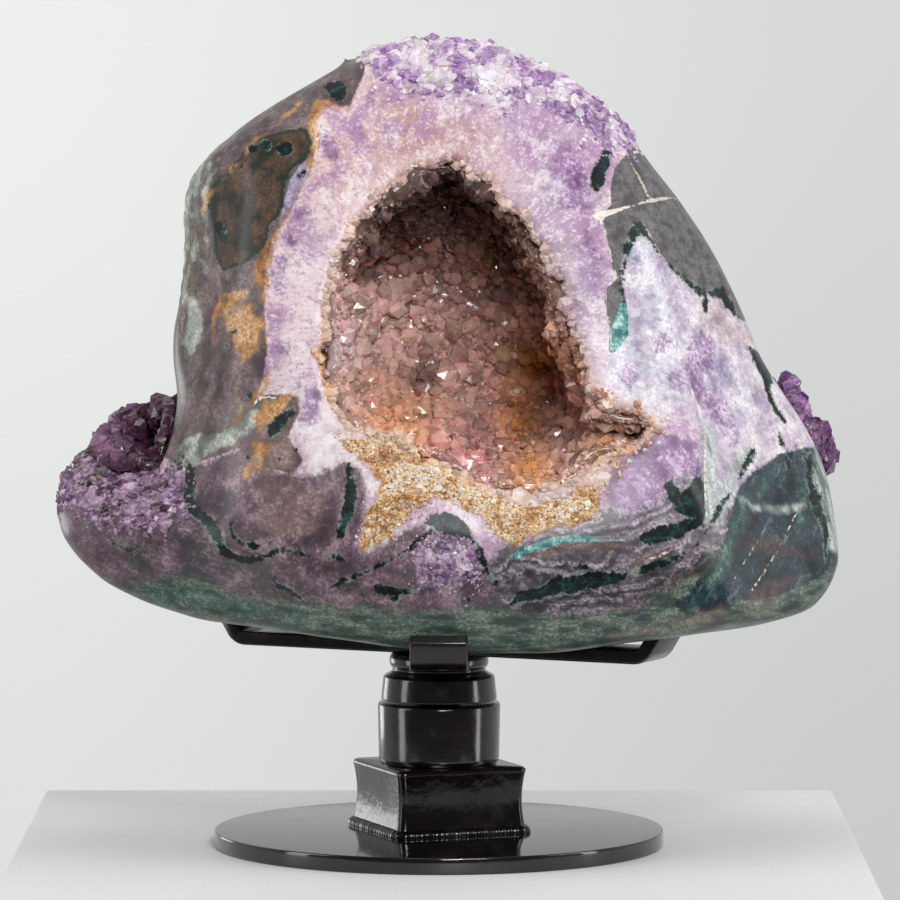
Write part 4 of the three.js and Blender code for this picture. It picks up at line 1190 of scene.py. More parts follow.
def crystal_cells(tree, place, scale):
    """One random shade for each cell of a net of crystals."""
    cells = add(tree, "TexVoronoi", {"Vector": place, "Scale": scale})
    return add(tree, "SeparateXYZ", {0: cells.outputs["Color"]}).outputs[0]


def stone_fields(tree):
    """The shared noise fields by name, and the thin bands along the two lines."""
    fields = {
        "broad": field(tree, 34, 4),
        "grainy": field(tree, 120, 4),
        "fine": field(tree, 430, 3),
        "clouded": field(tree, 50, 6),
        "streaked": field(tree, 95, 5, stretched_place(tree, 0.16)),
        "layered": field(tree, 42, 6, stretched_place(tree, 3.6)),
        "weather": field(tree, 9, 3),
    }
    warp = plus(tree, centred(tree, field(tree, 14, 2), 50.0), centred(tree, fields["clouded"], 22.0))
    flows = {
        name: use_group(tree, FLOW, {"Distance": point_value(tree, name), "Wander": warp, "Width": width})
        for name, width in (("from_bottom", 11.0), ("from_lobe", 24.0))
    }
    wide = times(tree, flows["from_bottom"].outputs["Wide"], 0.45)
    fields["along_bottom"] = plus(tree, wide, times(tree, fields["clouded"], 0.55))
    return fields, {name: flow.outputs["Thin"] for name, flow in flows.items()}

# %% [markdown]
# The stone's local colour, below all layers, is written on its points later. Round the mouth it is made of
# crystals that grew towards the hollow and were sawn across, so they show as long cells that point at the
# mouth.

# %% The stone's material
def make_rim_colour(tree, fields):
    """The local colour with sawn crystals in it, more violet and cloudier further from the mouth."""
    across = plus(tree, point_value(tree, "around"), centred(tree, fields["broad"], 16.0))
    inwards = plus(tree, point_value(tree, "mouth"), centred(tree, fields["grainy"], 14.0))
    comb = add(tree, "CombineXYZ", {0: times(tree, across, 0.5), 1: times(tree, inwards, 0.16)})
    columns = crystal_cells(tree, comb.outputs[0], 1.0)
    grains = crystal_cells(tree, object_place(tree), 560.0)
    painted = add(tree, "Attribute", attribute_name="rim_tint").outputs["Color"]
    from_mouth = plus(tree, point_value(tree, "mouth"), centred(tree, fields["broad"], 40.0))
    outer = times(tree, eased(tree, from_mouth, 8.0, 46.0, 0.3, 0.9), eased(tree, fields["broad"], 0.47, 0.6))
    painted = mixed(tree, outer, painted, colour(176, 138, 172))
    cloudy = eased(tree, fields["clouded"], 0.5, 0.66, 0.0, 0.55)
    painted = mixed(tree, cloudy, painted, colour(246, 238, 240))
    both = plus(tree, times(tree, columns, 0.5), times(tree, grains, 0.5))
    painted = mixed(tree, eased(tree, both, 0.58, 0.85, 0.0, 0.42), painted, colour(250, 244, 246))
    return mixed(tree, eased(tree, both, 0.15, 0.42, 0.5, 0.0), painted, colour(150, 114, 146))


def with_border(tree, name, painted, fields, wander):
    """A dark line round the brown patch, and a patchy grey-green one round the teal veins."""
    if name == "brown_patch":
        return mixed(tree, line_of(tree, name, wander, 0.5, 2.2), painted, colour(34, 52, 44))
    if name == "teal":
        patchy = eased(tree, fields["grainy"], 0.46, 0.6, 0.0, 0.6)
        border = times(tree, line_of(tree, name, wander, 0.8, 0.8), patchy)
        return mixed(tree, border, painted, colour(128, 150, 138))
    return painted


def with_layers(tree, painted, fields, thin_bands, wander):
    """All the layers over a colour, each with its thin bands or the sparkle of its cut crystals."""
    sparkle = grey(tree, crystal_cells(tree, object_place(tree), 250.0))
    for name, dark, middle, light, pattern, ragged, softness, strength in STONE_LAYERS:
        painted = with_border(tree, name, painted, fields, wander)
        fill = mottled(tree, (dark, middle, light), fields[pattern], fields["fine"])
        if name in CRYSTALLINE:
            fill = mixed(tree, 0.55, fill, sparkle, "SOFT_LIGHT")
        if name in THIN_BANDS:
            line, breaker, low, high, strongest, shade = THIN_BANDS[name]
            thin = times(tree, thin_bands[line], eased(tree, fields[breaker], low, high, 0.0, strongest))
            fill = mixed(tree, thin, fill, colour(*shade))
        mask = edge_of(tree, name, wander, ragged, softness)
        painted = mixed(tree, times(tree, mask, strength), painted, fill)
    return painted


def make_skin_colour(tree, fields):
    """Weathered rock: brown, green, pale and dark patches of several sizes."""
    skin = mottled(tree, SKIN_COLOURS, fields["clouded"], fields["grainy"])
    for name, low, high, to_low, to_high, shade in SKIN_PATCHES:
        skin = mixed(tree, eased(tree, fields[name], low, high, to_low, to_high), skin, colour(*shade))
    return skin


def make_stone_material():
    material, tree, shader = new_material("banded_stone")
    fields, thin_bands = stone_fields(tree)
    wander = plus(tree, centred(tree, fields["broad"], 9.0), centred(tree, fields["grainy"], 7.0))
    wander = plus(tree, wander, centred(tree, fields["fine"], 3.5))
    painted = with_layers(tree, make_rim_colour(tree, fields), fields, thin_bands, wander)
    crust = edge_of(tree, "porous_crust", wander, 1.5, 2.0)
    # Painted shade in the pores of the golden crust: each pore is painted dark brown.
    pores = add(tree, "TexVoronoi", {"Vector": object_place(tree), "Scale": 390.0}).outputs["Distance"]
    pores = plus(tree, pores, centred(tree, fields["grainy"], -1.4))
    holes = times(tree, eased(tree, pores, 0.1, 0.3, 1.0, 0.0), crust)
    painted = mixed(tree, holes, painted, colour(122, 82, 50))
    cream = times(tree, line_of(tree, "mouth", wander, 1.0, 4.0), 0.35)
    painted = mixed(tree, cream, painted, colour(222, 190, 166))
    # Painted shade inside the small pits: they are painted near black.
    pits = edge_of(tree, "pits", wander, 0.1, 0.4)
    painted = mixed(tree, pits, painted, colour(30, 34, 28))
    wild = plus(tree, point_value(tree, "wild"), centred(tree, fields["broad"], 1.4))
    skin_mask = eased(tree, wild, 0.45, 0.7)
    painted = mixed(tree, skin_mask, painted, make_skin_colour(tree, fields))
    tree.links.new(painted, shader.inputs["Base Color"])
    rough = sum_of(tree, "MAXIMUM", skin_mask, times(tree, crust, 0.7))
    tree.links.new(eased(tree, rough, 0.0, 1.0, 0.36, 0.78), shader.inputs["Roughness"])
    height = plus(tree, fields["grainy"], times(tree, fields["fine"], 0.5))
    height = times(tree, height, plus(tree, rough, 0.03))
    height = sum_of(tree, "SUBTRACT", height, times(tree, holes, 0.9))
    height = sum_of(tree, "SUBTRACT", height, pits)
    bump = add(tree, "Bump", {"Height": height, "Strength": 0.6, "Distance": 0.0022})
    tree.links.new(bump.outputs[0], shader.inputs["Normal"])
    shader.inputs["Specular IOR Level"].default_value = 0.38
    shader.inputs["Coat Weight"].default_value = 0.04
    shader.inputs["Coat Roughness"].default_value = 0.2
    return material


banded_stone = make_stone_material()
print(len(banded_stone.node_tree.nodes), "nodes in the stone's finish")

# %% [markdown]
# The local colour is a start colour with soft round zones over it, each a place in the picture, a radius
# and a colour. Zones that come later lie over earlier ones. The same idea tints the crystals further down.

# %% Zones of local colour on the stone
RIM_START = (230, 208, 214)
RIM_ZONES = {
    "rosy stone over the hollow": (430, 132, 75, (176, 124, 110)),
    "pink, upper left of the mouth": (345, 170, 46, (214, 178, 174)),
    "violet, upper right of the mouth": (566, 186, 42, (128, 92, 138)),
    "lilac under the crown": (540, 105, 52, (180, 150, 186)),
    "pale lilac at the crown": (450, 70, 50, (204, 182, 206)),
    "pale pink, left of the mouth": (290, 290, 46, (230, 206, 212)),
    "pale pink, lower left of the mouth": (300, 410, 46, (226, 208, 214)),
    "violet, right of the mouth": (586, 300, 32, (138, 116, 140)),
    "violet, higher on the right": (566, 238, 32, (146, 116, 136)),
    "lilac below the cleft": (650, 470, 56, (152, 126, 166)),
    "grey lilac under the mouth": (560, 520, 50, (166, 154, 162)),
    "blue white over the cleft": (640, 360, 40, (206, 206, 218)),
    # Painted highlight: the mouth's lower left is whitened where the light falls on the tilted front.
    "painted highlight at the mouth's lower left": (330, 440, 30, (236, 224, 226)),
    "blue beside the basalt": (640, 262, 26, (132, 152, 182)),
    "ice blue quartz": (668, 310, 30, (216, 222, 236)),
    "white quartz": (668, 366, 34, (240, 234, 244)),
    "deep amethyst on the right": (712, 372, 28, (124, 86, 150)),
    "pale lilac on the right": (728, 420, 24, (206, 190, 218)),
    "grey white at the right pocket": (768, 380, 24, (214, 216, 210)),
    "mauve, lower left": (290, 500, 40, (128, 92, 104)),
    "purple of the left lobe": (120, 495, 44, (140, 100, 140)),
    "dull purple beside the lobe": (205, 520, 44, (112, 84, 104)),
    "olive under the lobe": (150, 555, 36, (112, 104, 92)),
    "mauve above the foot": (330, 565, 60, (120, 94, 102)),
    "violet of the small arch": (447, 560, 26, (146, 112, 156)),
    "green foot, left": (200, 596, 60, (116, 164, 150)),
    "green foot, middle": (330, 620, 70, (120, 136, 118)),
    "green foot, right": (560, 620, 70, (92, 106, 96)),
    "rust brown at the left edge": (240, 385, 26, (132, 100, 70)),
    "grey violet at the left edge": (204, 395, 26, (118, 106, 122)),
    "grey mauve of the upper left skin": (230, 130, 40, (106, 90, 98)),
    "red brown in the jasper": (770, 548, 26, (110, 76, 68)),
    "dark teal in the jasper": (790, 500, 22, (28, 66, 82)),
    "dark green under the jasper": (745, 580, 30, (40, 62, 60)),
    "grey agate, lower right": (620, 580, 60, (118, 112, 118)),
    "grey agate, bottom": (470, 600, 40, (128, 118, 128)),
    "orange lip of the cleft": (634, 424, 20, (228, 172, 130)),
    "orange corner of the cleft": (600, 404, 12, (228, 182, 150)),
    "cream under the cleft": (604, 478, 18, (232, 192, 150)),
}

def tinted(places, start, zones):
    """Colours at places in the picture: a start colour with soft zones over it."""
    made = np.tile(np.array(colour(*start)), (len(places), 1))
    for u, v, radius, over in zones.values():
        share = np.exp(-((places[:, 0] - u) ** 2 + (places[:, 1] - v) ** 2) / radius**2)[:, None]
        made = made * (1 - share) + np.array(colour(*over)) * share
    return made


print(len(RIM_ZONES), "zones of local colour")

# %% The stone becomes a piece, with a distance to each marking at every point
BANDS_WANDER_FROM = -0.125

def write_values(piece, name, values):
    attribute = piece.data.attributes.new(name, "FLOAT", "POINT")
    attribute.data.foreach_set("value", np.asarray(values, np.float32))


def write_colours(piece, name, colours):
    attribute = piece.data.attributes.new(name, "FLOAT_COLOR", "POINT")
    attribute.data.foreach_set("color", np.asarray(colours, np.float32).ravel())


def make_stone():
    stone = make_piece(
        "polished_geode", stone_points, stone_faces, banded_stone, "turntable",
        ["geode_stone"],
    )
    behind = np.clip((stone_points[:, 1] - BANDS_WANDER_FROM) / 0.12, 0, 1.4)
    wander = np.column_stack([behind * 0.013 * lumps(stone_points, 55, seed) for seed in (3.7, 0, 9.1)])
    wander[:, 1] = 0
    places = in_picture(stone_points + wander)
    for name, parts in MARKINGS.items():
        write_values(stone, name, to_marking(places, **parts))
    write_values(stone, "wild", stone_wild)
    turn = np.arctan2(places[:, 0] - MOUTH_HEART[0], MOUTH_HEART[1] - places[:, 1])
    write_values(stone, "around", turn * MOUTH_RADIUS)
    write_colours(stone, "rim_tint", tinted(places, RIM_START, RIM_ZONES))


make_stone()

# %% [markdown]
# ## Crystals
# A geode's lining is thousands of quartz crystals, most of them only pointed caps crowded side by side.
# Placing them one by one is hopeless, so they are grown as arrays. A crystal is a ring at its foot, a wider
# ring at its shoulder and a tip. Their roots are spread at random over the crust's inner face, by its area,
# and each leans a little at random. Flat shading keeps every facet a mirror, which makes the
# sparkle.

# %% Growing crystals
CORNERS = 6
CRYSTAL_POINTS = 2 * CORNERS + 1
NO_GROUND = ([], [])
# The bare crust between the crystals is darkened to 0.6 of its tint: painted shade in the gaps.
CRUST_PAINTED_SHADE = (0.6, 0.6, 0.6, 1)

def unit(vectors):
    return vectors / np.maximum(np.linalg.norm(vectors, axis=-1, keepdims=True), 1e-12)


def grow(roots, ways, widths, heights, random):
    """Points and triangles of many six-sided crystals."""
    count = len(roots)
    side = unit(np.cross(ways, random.normal(size=(count, 3))))
    across = np.cross(ways, side)
    turns = 2 * math.pi * np.arange(CORNERS) / CORNERS + 0.25 * (random.random((count, CORNERS)) - 0.5)
    ring = np.cos(turns)[..., None] * side[:, None] + np.sin(turns)[..., None] * across[:, None]
    wide, tall, way = widths[:, None, None], heights[:, None, None], ways[:, None]
    foot = roots[:, None] - way * wide * 0.9 + ring * wide * 0.75
    shoulder_rise = tall * (0.38 + 0.22 * random.random((count, CORNERS, 1)))
    shoulder_reach = 0.85 + 0.3 * random.random((count, CORNERS, 1))
    shoulder = roots[:, None] + way * shoulder_rise + ring * wide * shoulder_reach
    aside = (random.random((count, 1, 2)) - 0.5) * 0.5
    tip_shift = aside[..., :1] * side[:, None] + aside[..., 1:] * across[:, None]
    tip = roots[:, None] + way * tall + tip_shift * wide
    points = np.concatenate((foot, shoulder, tip), axis=1)
    pattern = []
    for s in range(CORNERS):
        n = (s + 1) % CORNERS
        pattern.append((s, n, CORNERS + n))
        pattern.append((s, CORNERS + n, CORNERS + s))
        pattern.append((CORNERS + s, CORNERS + n, 2 * CORNERS))
    triangles = np.array(pattern)[None] + (np.arange(count) * CRYSTAL_POINTS)[:, None, None]
    return points.reshape(-1, 3), triangles.reshape(-1, 3)


def scatter(points, faces, wanted, count, random):
    """Places and normals spread by area over the faces that are wanted. wanted takes middles and normals."""
    mesh = bpy.data.meshes.new("ground")
    mesh.from_pydata(points.tolist(), [], faces)
    mesh.calc_loop_triangles()
    corners = np.empty(len(mesh.loop_triangles) * 3, int)
    mesh.loop_triangles.foreach_get("vertices", corners)
    bpy.data.meshes.remove(mesh)
    triangles = points[corners.reshape(-1, 3)]
    cross = np.cross(triangles[:, 1] - triangles[:, 0], triangles[:, 2] - triangles[:, 0])
    weight = np.linalg.norm(cross, axis=1)
    weight *= wanted(triangles.mean(axis=1), unit(cross))
    chosen = random.choice(len(triangles), count, p=weight / weight.sum())
    first, second = random.random((2, count, 1))
    folded = first + second > 1
    first, second = np.where(folded, 1 - first, first), np.where(folded, 1 - second, second)
    a, b, c = triangles[chosen].transpose(1, 0, 2)
    return a + first * (b - a) + second * (c - a), unit(cross)[chosen]


def crystal_piece(name, ground, crystals, tints, material, stands_for=()):
    """One piece from a smooth crust and its crystals, with a colour at each point."""
    base_points, base_faces = ground
    grown_points, triangles = crystals
    points = np.concatenate((base_points, grown_points)) if len(base_points) else grown_points
    faces = list(base_faces) + (triangles + len(base_points)).tolist()
    smooth = [True] * len(base_faces) + [False] * len(triangles)
    piece = make_piece(name, points, faces, material, "turntable", stands_for, smooth)
    write_colours(piece, "tint", tints)


def with_shades(colours, spread, random):
    """The same colours at each crystal's points, each crystal a little lighter or darker than the next."""
    together = random.normal(size=(len(colours), 1))
    apart = random.normal(size=(len(colours), 4))
    varied = colours * np.exp(spread * together + 0.14 * spread * apart)
    varied /= np.maximum(varied[:, :3].max(axis=1, keepdims=True) / 0.9, 1)
    varied[:, 3] = 1
    return np.repeat(varied, CRYSTAL_POINTS, axis=0)


print("each crystal has", CRYSTAL_POINTS, "points")

# %% Glassy crystal finishes
def make_crystal_material(name, see_through, smoothness, frost):
    """A glassy mineral whose body colour comes from the tint at each crystal."""
    material, tree, shader = new_material(name)
    tint = add(tree, "Attribute", attribute_name="tint").outputs["Color"]
    place = object_place(tree)
    cloud_wires = {"Vector": place, "Scale": 170.0, "Detail": 4.0, "Roughness": 0.6}
    clouds = add(tree, "TexNoise", cloud_wires).outputs[0]
    cloudy = mixed(tree, eased(tree, clouds, 0.45, 0.7, 0.0, frost), tint, colour(236, 222, 218))
    veils = add(tree, "TexNoise", {"Vector": place, "Scale": 420.0, "Detail": 2.0}).outputs[0]
    veiled = mixed(tree, 1.0, cloudy, tint, "MULTIPLY")
    shown = mixed(tree, eased(tree, veils, 0.35, 0.5, 0.35, 0.0), cloudy, veiled)
    tree.links.new(shown, shader.inputs["Base Color"])
    tree.links.new(eased(tree, clouds, 0.4, 0.7, smoothness, smoothness + 0.25), shader.inputs["Roughness"])
    bump = add(tree, "Bump", {"Height": veils, "Strength": 0.25, "Distance": 0.0005})
    tree.links.new(bump.outputs[0], shader.inputs["Normal"])
    shader.inputs["IOR"].default_value = 1.54
    shader.inputs["Transmission Weight"].default_value = see_through
    return material


hollow_glass = make_crystal_material("hollow_quartz_glass", 0.12, 0.06, 0.2)
rim_glass = make_crystal_material("rim_quartz_glass", 0.1, 0.2, 0.5)
purple_glass = make_crystal_material("amethyst_glass", 0.2, 0.08, 0.15)
print("three glassy finishes")

# %% [markdown]
# ## The main hollow
# Its crust is lumpy before any crystal grows on it, so the light breaks into ledges and dark recesses. The
# roof is brown with painted shade darkening it, the left wall mauve, the back golden and the floor pink with
# orange iron stains. The
# mouth's edge is found first, on the stone itself: seen from the eye, it is where the front face falls
# away.

# %% The real edge of the mouth
EDGE_STEPS = 720
SEARCH_FROM = 238
SEARCH_TO = 70
SEARCH_STEP = 1.5
BEHIND_STONE = 0.05
EDGE_DROP = 3.5 * MM

def ray_through(place):
    """The way from the eye through a place in the picture."""
    across = (place[0] - PICTURE_SIDE / 2) / FOCAL
    up = (PICTURE_SIDE / 2 - place[1]) / FOCAL
    cos, sin = math.cos(LOOKS_DOWN), math.sin(LOOKS_DOWN)
    return Vector((across, cos + up * sin, up * cos - sin)).normalized()


def mouth_edge(tree, turn):
    """The last point of the front face, going inwards to the mouth's heart from one side."""
    way = np.array([math.cos(turn), math.sin(turn)])
    before = None
    for far in np.arange(SEARCH_FROM, SEARCH_TO, -SEARCH_STEP):
        hit = tree.ray_cast(Vector(EYE), ray_through(MOUTH_HEART + way * far))[0]
        if hit is None or hit.y > BEHIND_STONE:
            if before is not None:
                break
            continue
        if before is not None and hit.y > before.y + EDGE_DROP:
            break
        before = hit
    return np.array(before), np.array([way[0], 0, -way[1]])


def find_edge():
    tree = BVHTree.FromPolygons(stone_points.tolist(), stone_faces)
    turns = np.linspace(0, 2 * math.pi, EDGE_STEPS, endpoint=False)
    found = [mouth_edge(tree, turn) for turn in turns]
    return np.array([place for place, out in found]), np.array([out for place, out in found])


def behind_edge(points):
    """How far points lie behind the mouth's edge on their own side, in metres."""
    away = in_picture(points) - MOUTH_HEART
    share = np.arctan2(away[:, 1], away[:, 0]) / (2 * math.pi)
    step = np.round(share * EDGE_STEPS).astype(int) % EDGE_STEPS
    return points[:, 1] - EDGE_PLACES[step, 1]


EDGE_PLACES, EDGE_WAYS = find_edge()
edge_depths = EDGE_PLACES[:, 1]
print("the mouth's edge lies", round(edge_depths.min(), 3), "to", round(edge_depths.max(), 3), "in depth")

# %% [markdown]
# Just behind the mouth the crust is drawn back under the stone's edge, and its crystals grow only a few
# millimetres behind that edge, so that the stone's own broken rim stays in front. Larger crystals come
# first, with the crust they stand on, and a finer crop then fills the gaps.

# %% Lining of the main hollow
HOLLOW_MIDDLE = np.array([0.014, -0.04, 0.410])
HOLLOW_VOXEL = 3.8 * MM
RECESS = 9
BARE_EDGE = 4 * MM
SMALL_NEAR_EDGE = 26 * MM
HOLLOW_CROPS = [
    # piece, how many, width in millimetres, height to width
    ("hollow_druse", 6200, 3.4, (0.8, 1.6)),
    ("hollow_druse_fine", 9500, 1.8, (0.8, 1.5)),
]
HOLLOW_START = (220, 178, 168)
HOLLOW_ZONES = {
    "bright left wall": (370, 320, 64, (246, 204, 196)),
    "lilac white at the left edge": (340, 350, 26, (240, 214, 214)),
    "pink back": (460, 340, 40, (216, 168, 156)),
    "golden back": (540, 362, 36, (188, 124, 44)),
    "brown right edge": (585, 340, 26, (140, 90, 58)),
    "orange floor on the right": (520, 420, 30, (206, 138, 78)),
    "peach floor": (400, 425, 46, (240, 178, 134)),
    "rose floor at the front": (470, 455, 34, (212, 150, 146)),
    "orange stain at the lip": (530, 470, 24, (234, 168, 104)),
    "tan corner at the cleft": (600, 448, 22, (190, 146, 108)),
    "pale lower left": (350, 400, 22, (226, 184, 166)),
    "shaded ledge": (425, 380, 20, (120, 88, 84)),
    "brown upper left": (400, 240, 40, (122, 78, 64)),
    "brown upper back": (500, 250, 44, (134, 82, 50)),
    "brown right wall": (560, 290, 26, (140, 96, 76)),
    # Painted shade: the roof faces down, away from the light, and these three zones darken it nearly to
    # black-brown.
    "painted shade on the roof": (450, 190, 56, (58, 31, 22)),
    "painted shade on the roof, left": (375, 210, 30, (76, 45, 34)),
    "painted shade on the roof, right": (530, 225, 26, (84, 50, 34)),
    "mauve upper left edge": (340, 265, 24, (150, 108, 98)),
}

def hollow_ground():
    """The crust's own surface, heaved into ledges and drawn back behind the mouth."""
    points, edges, faces = free_copy("hollow_crystals", HOLLOW_VOXEL)
    points = smoothed(points, edges, np.full(len(points), 0.5), 3)
    lean = normals_of(points, faces)
    heave = np.clip(lumps(points, 30, 4.4), -0.35, 1) * 11 + lumps(points, 12, 7.7) * 5
    front = np.clip((points[:, 1] + 0.150) / 0.03, 0.15, 1)
    points = points + lean * (heave * front)[:, None] * MM
    facing = np.sum(lean * unit(HOLLOW_MIDDLE - points), axis=1) > -0.1
    recess = RECESS * np.clip((-0.090 - points[:, 1]) / 0.035, 0, 1) * facing
    return points - lean * recess[:, None] * MM, faces


def in_hollow(middles, normals):
    """Which faces of the crust look into the hollow and lie behind the mouth's edge."""
    inwards = HOLLOW_MIDDLE - middles
    inwards[:, 1] *= 0.6
    seen = (np.sum(normals * unit(inwards), axis=1) > 0.0) | (normals[:, 1] < -0.1)
    return seen & (behind_edge(middles) > BARE_EDGE)


def line_hollow():
    random = np.random.default_rng(11)
    points, faces = hollow_ground()
    ground, stands_for = (points, faces), ["hollow_crystals"]
    for name, count, size, rise in HOLLOW_CROPS:
        roots, ways = scatter(points, faces, in_hollow, count, random)
        clumped = lumps(roots, 17, 6.2)
        widths = np.exp(random.normal(np.log(size), 0.42, count)) * (1 + 0.7 * clumped) * MM
        near = np.clip(behind_edge(roots) / SMALL_NEAR_EDGE, 0.5, 1)
        widths = np.clip(widths * near, 1.0 * MM, 8 * MM)
        heights = widths * random.uniform(*rise, count)
        ways = unit(ways + 0.36 * random.normal(size=ways.shape))
        crystals = grow(roots, ways, widths, heights, random)
        tints = with_shades(tinted(in_picture(roots), HOLLOW_START, HOLLOW_ZONES), 0.3, random)
        if stands_for:
            # Painted shade: the crust between the crystals is darker than the crystals.
            under = tinted(in_picture(points), HOLLOW_START, HOLLOW_ZONES) * CRUST_PAINTED_SHADE
            tints = np.concatenate((under, tints))
        crystal_piece(name, ground, crystals, tints, hollow_glass, stands_for)
        ground, stands_for = NO_GROUND, []


line_hollow()

# %% [markdown]
# ## The two pockets
# Smaller pockets at the lower left and at the right hold darker amethyst, in larger and cleaner crystals.
# In the left one they grow only on what faces its middle. The right one is almost flat, so they cover
# nearly all of it.

# %% Pockets
LEFT_POCKET_ZONES = {
    "plum, above": (118, 440, 26, (120, 78, 112)),
    "dark, right": (160, 440, 30, (54, 22, 44)),
    "lilac, left": (84, 460, 18, (164, 128, 160)),
}
RIGHT_POCKET_ZONES = {
    "lilac, above": (800, 400, 18, (160, 112, 166)),
    "dark, below": (815, 440, 22, (114, 70, 118)),
}

def line_pocket(node, name, middle, seed, count, size, rise, start, zones, turned_out):
    """A pocket's crust with its crystals. turned_out says how far a face may look away from the middle."""
    random = np.random.default_rng(seed)
    points, edges, faces = free_copy(node, 2.6 * MM)
    points = smoothed(points, edges, np.full(len(points), 0.5), 2)

    def inner(middles, normals):
        return np.sum(normals * unit(np.array(middle) * MM - middles), axis=1) > turned_out

    roots, ways = scatter(points, faces, inner, count, random)
    widths = np.clip(np.exp(random.normal(np.log(size), 0.45, count)), 1.4, 8) * MM
    heights = widths * random.uniform(*rise, count)
    ways = unit(ways + 0.35 * random.normal(size=ways.shape))
    crystals = grow(roots, ways, widths, heights, random)
    # Painted shade: the crust between the crystals is darker than the crystals.
    under = tinted(in_picture(points), start, zones) * CRUST_PAINTED_SHADE
    tints = np.concatenate((under, with_shades(tinted(in_picture(roots), start, zones), 0.35, random)))
    crystal_piece(name, (points, faces), crystals, tints, purple_glass, [node])


line_pocket(
    "left_pocket_crystals", "left_pocket_druse", middle=(-235, 0, 340), seed=21, count=900, size=4.3,
    rise=(0.7, 1.4), start=(88, 50, 76), zones=LEFT_POCKET_ZONES, turned_out=-0.1,
)
line_pocket(
    "right_pocket_crystals", "right_pocket_druse", middle=(306, 66, 322), seed=22, count=1300, size=3.2,
    rise=(0.4, 0.9), start=(136, 88, 140), zones=RIGHT_POCKET_ZONES, turned_out=-0.95,
)

# %% [markdown]
# ## Crystals at the rim and on broken stone
# Where the saw met open crystals, their broken ends stand as cream teeth round the mouth, in clusters. They
# come in rows, and the later rows go over into the hollow's own colours a few millimetres behind the edge.

# %% Teeth of the rim
TOOTH_ROWS = [
    # millimetres behind the edge, how many, width
    (0.4, 430, 2.7),
    (3.5, 430, 3.0),
    (8.0, 420, 3.2),
    (13.0, 380, 3.2),
    (18.0, 340, 3.4),
]
TOOTH_START = (226, 198, 184)
TOOTH_ZONES = {
    "golden, left": (322, 370, 30, (226, 178, 116)),
    "cream at the cleft": (600, 450, 40, (232, 200, 164)),
    "pink, above": (440, 170, 80, (216, 182, 172)),
    "lilac, right": (580, 300, 50, (196, 168, 180)),
    "cream, below": (430, 460, 50, (236, 206, 168)),
}

def make_rim_teeth():
    random = np.random.default_rng(31)
    roots, ways, widths, rows = [], [], [], []
    for row, (behind, count, size) in enumerate(TOOTH_ROWS):
        steps = random.integers(0, EDGE_STEPS, count)
        place, out = EDGE_PLACES[steps], EDGE_WAYS[steps]
        cluster = np.clip(lumps(place, 15, 2.9), -0.3, 1) * 7.0
        inwards = cluster + random.uniform(-1.5, 1.2, count)
        roots.append(place - out * inwards[:, None] * MM)
        roots[-1][:, 1] += (behind + random.uniform(-1, 2.5, count)) * MM
        ways.append(-out + (0, -0.25, 0) + 0.38 * random.normal(size=(count, 3)))
        widths.append(size * np.exp(0.32 * random.normal(size=count)) * MM)
        rows.append(np.full(count, row))
    roots, ways, widths, rows = (np.concatenate(part) for part in (roots, ways, widths, rows))
    heights = widths * random.uniform(0.6, 1.3, len(roots))
    places = in_picture(roots)
    outer = tinted(places, TOOTH_START, TOOTH_ZONES)
    inner = tinted(places, HOLLOW_START, HOLLOW_ZONES)
    deep = np.clip((rows - 1) / 2, 0, 1)[:, None]
    tints = with_shades(outer * (1 - deep) + inner * deep, 0.16, random)
    crystals = grow(roots, unit(ways), widths, heights, random)
    crystal_piece("rim_teeth", NO_GROUND, crystals, tints, rim_glass)


make_rim_teeth()

# %% [markdown]
# At the very top and on the left lobe the stone is broken, not polished, and low crystals crowd there. The
# porous golden crust, the cleft at the hollow's right and the small arch below it have them too, only
# finer. Each crowd is grown inside an outline in the picture and gets sparse towards it.

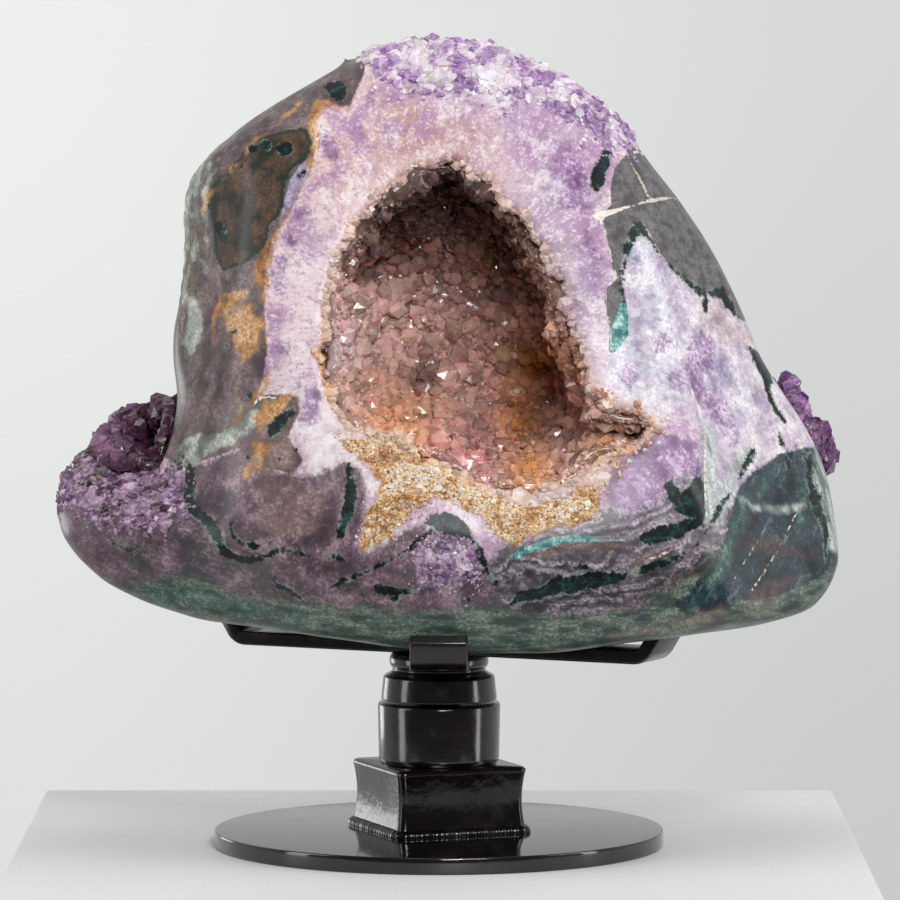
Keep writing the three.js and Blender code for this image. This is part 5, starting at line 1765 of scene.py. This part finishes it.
# %% Low crystals that crowd on broken stone
CROWN_AREA = [
    (368, 30), (480, 10), (560, 40), (620, 90), (646, 130), (636, 148), (606, 140), (580, 122),
    (548, 106), (500, 98), (450, 92), (410, 96), (376, 80), (364, 58),
]
LOBE_AREA = [
    (56, 500), (58, 460), (76, 440), (112, 446), (150, 468), (184, 474), (188, 505), (170, 530), (130, 534),
    (92, 522),
]
CRUST_AREA = BANDS["porous_crust"][0]
CLEFT_AREA = [
    (588, 384), (606, 390), (622, 400), (644, 410), (662, 420), (668, 434), (652, 448), (632, 458),
    (620, 474), (604, 488), (592, 482), (604, 464), (622, 446), (612, 436), (598, 428),
]
ARCH_AREA = [
    (424, 545), (432, 534), (450, 532), (466, 542), (474, 558), (476, 578), (460, 588), (432, 584),
    (420, 566),
]
WHOLE_FRONT = 0.06
CROWDS = [
    # piece, area, highest normal to the back, how many, width, height to width, slot, seed, fade, colours
    ("crown_crystals", CROWN_AREA, 0.6, 2700, 2.8, (0.25, 0.7), "purple_amethyst", 41, 22,
     [(238, 228, 236), (222, 204, 222), (196, 166, 202), (156, 118, 172)]),
    ("lobe_crystals", LOBE_AREA, 0.3, 1500, 2.9, (0.1, 0.42), "purple_amethyst", 42, 22,
     [(168, 140, 166), (136, 100, 136), (102, 68, 102), (66, 40, 64)]),
    ("crust_grains", CRUST_AREA, 0.2, 2600, 0.9, (0.3, 0.9), "hollow_quartz", 43, 12,
     [(244, 232, 214), (234, 206, 164), (216, 170, 116), (178, 126, 76)]),
    ("arch_crystals", ARCH_AREA, 0.2, 420, 1.6, (0.2, 0.5), "purple_amethyst", 44, 22,
     [(200, 182, 200), (154, 128, 158), (116, 86, 122)]),
    ("cleft_crystals", CLEFT_AREA, 0.8, 900, 1.9, (0.3, 0.8), "hollow_quartz", 45, 7,
     [(238, 222, 212), (228, 194, 164), (214, 160, 122), (186, 138, 120)]),
]

def crowd(name, area, highest_normal, count, size, rise, slot, seed, fade, shades):
    """Low crystals over an area of the stone, in small patches of colour. They thin out over fade points."""
    random = np.random.default_rng(seed)

    def wanted(middles, normals):
        outside = to_area(in_picture(middles), area) + fade * lumps(middles, 16, 2.2)
        inside = np.clip(0.5 - outside / (fade + 4), 0, 1)
        return inside * (normals[:, 1] < highest_normal) * (middles[:, 1] < WHOLE_FRONT)

    roots, ways = scatter(stone_points, stone_faces, wanted, count, random)
    widths = np.clip(np.exp(random.normal(np.log(size), 0.38, count)), 0.7, 5.5) * MM
    inside = -to_area(in_picture(roots), area)
    widths *= np.clip(0.75 + inside / 30, 0.45, 1.15)
    heights = widths * random.uniform(*rise, count)
    ways = unit(ways + 0.4 * random.normal(size=ways.shape))
    patch = np.clip(lumps(roots, 15, 3.3) * 1.3 + 0.5 + 0.22 * random.normal(size=count), 0, 0.999)
    palette = np.array([colour(*shade) for shade in shades])
    tints = with_shades(palette[(patch * len(palette)).astype(int)], 0.16, random)
    crystals = grow(roots, ways, widths, heights, random)
    crystal_piece(name, NO_GROUND, crystals, tints, rim_glass)


for one_crowd in CROWDS:
    crowd(*one_crowd)
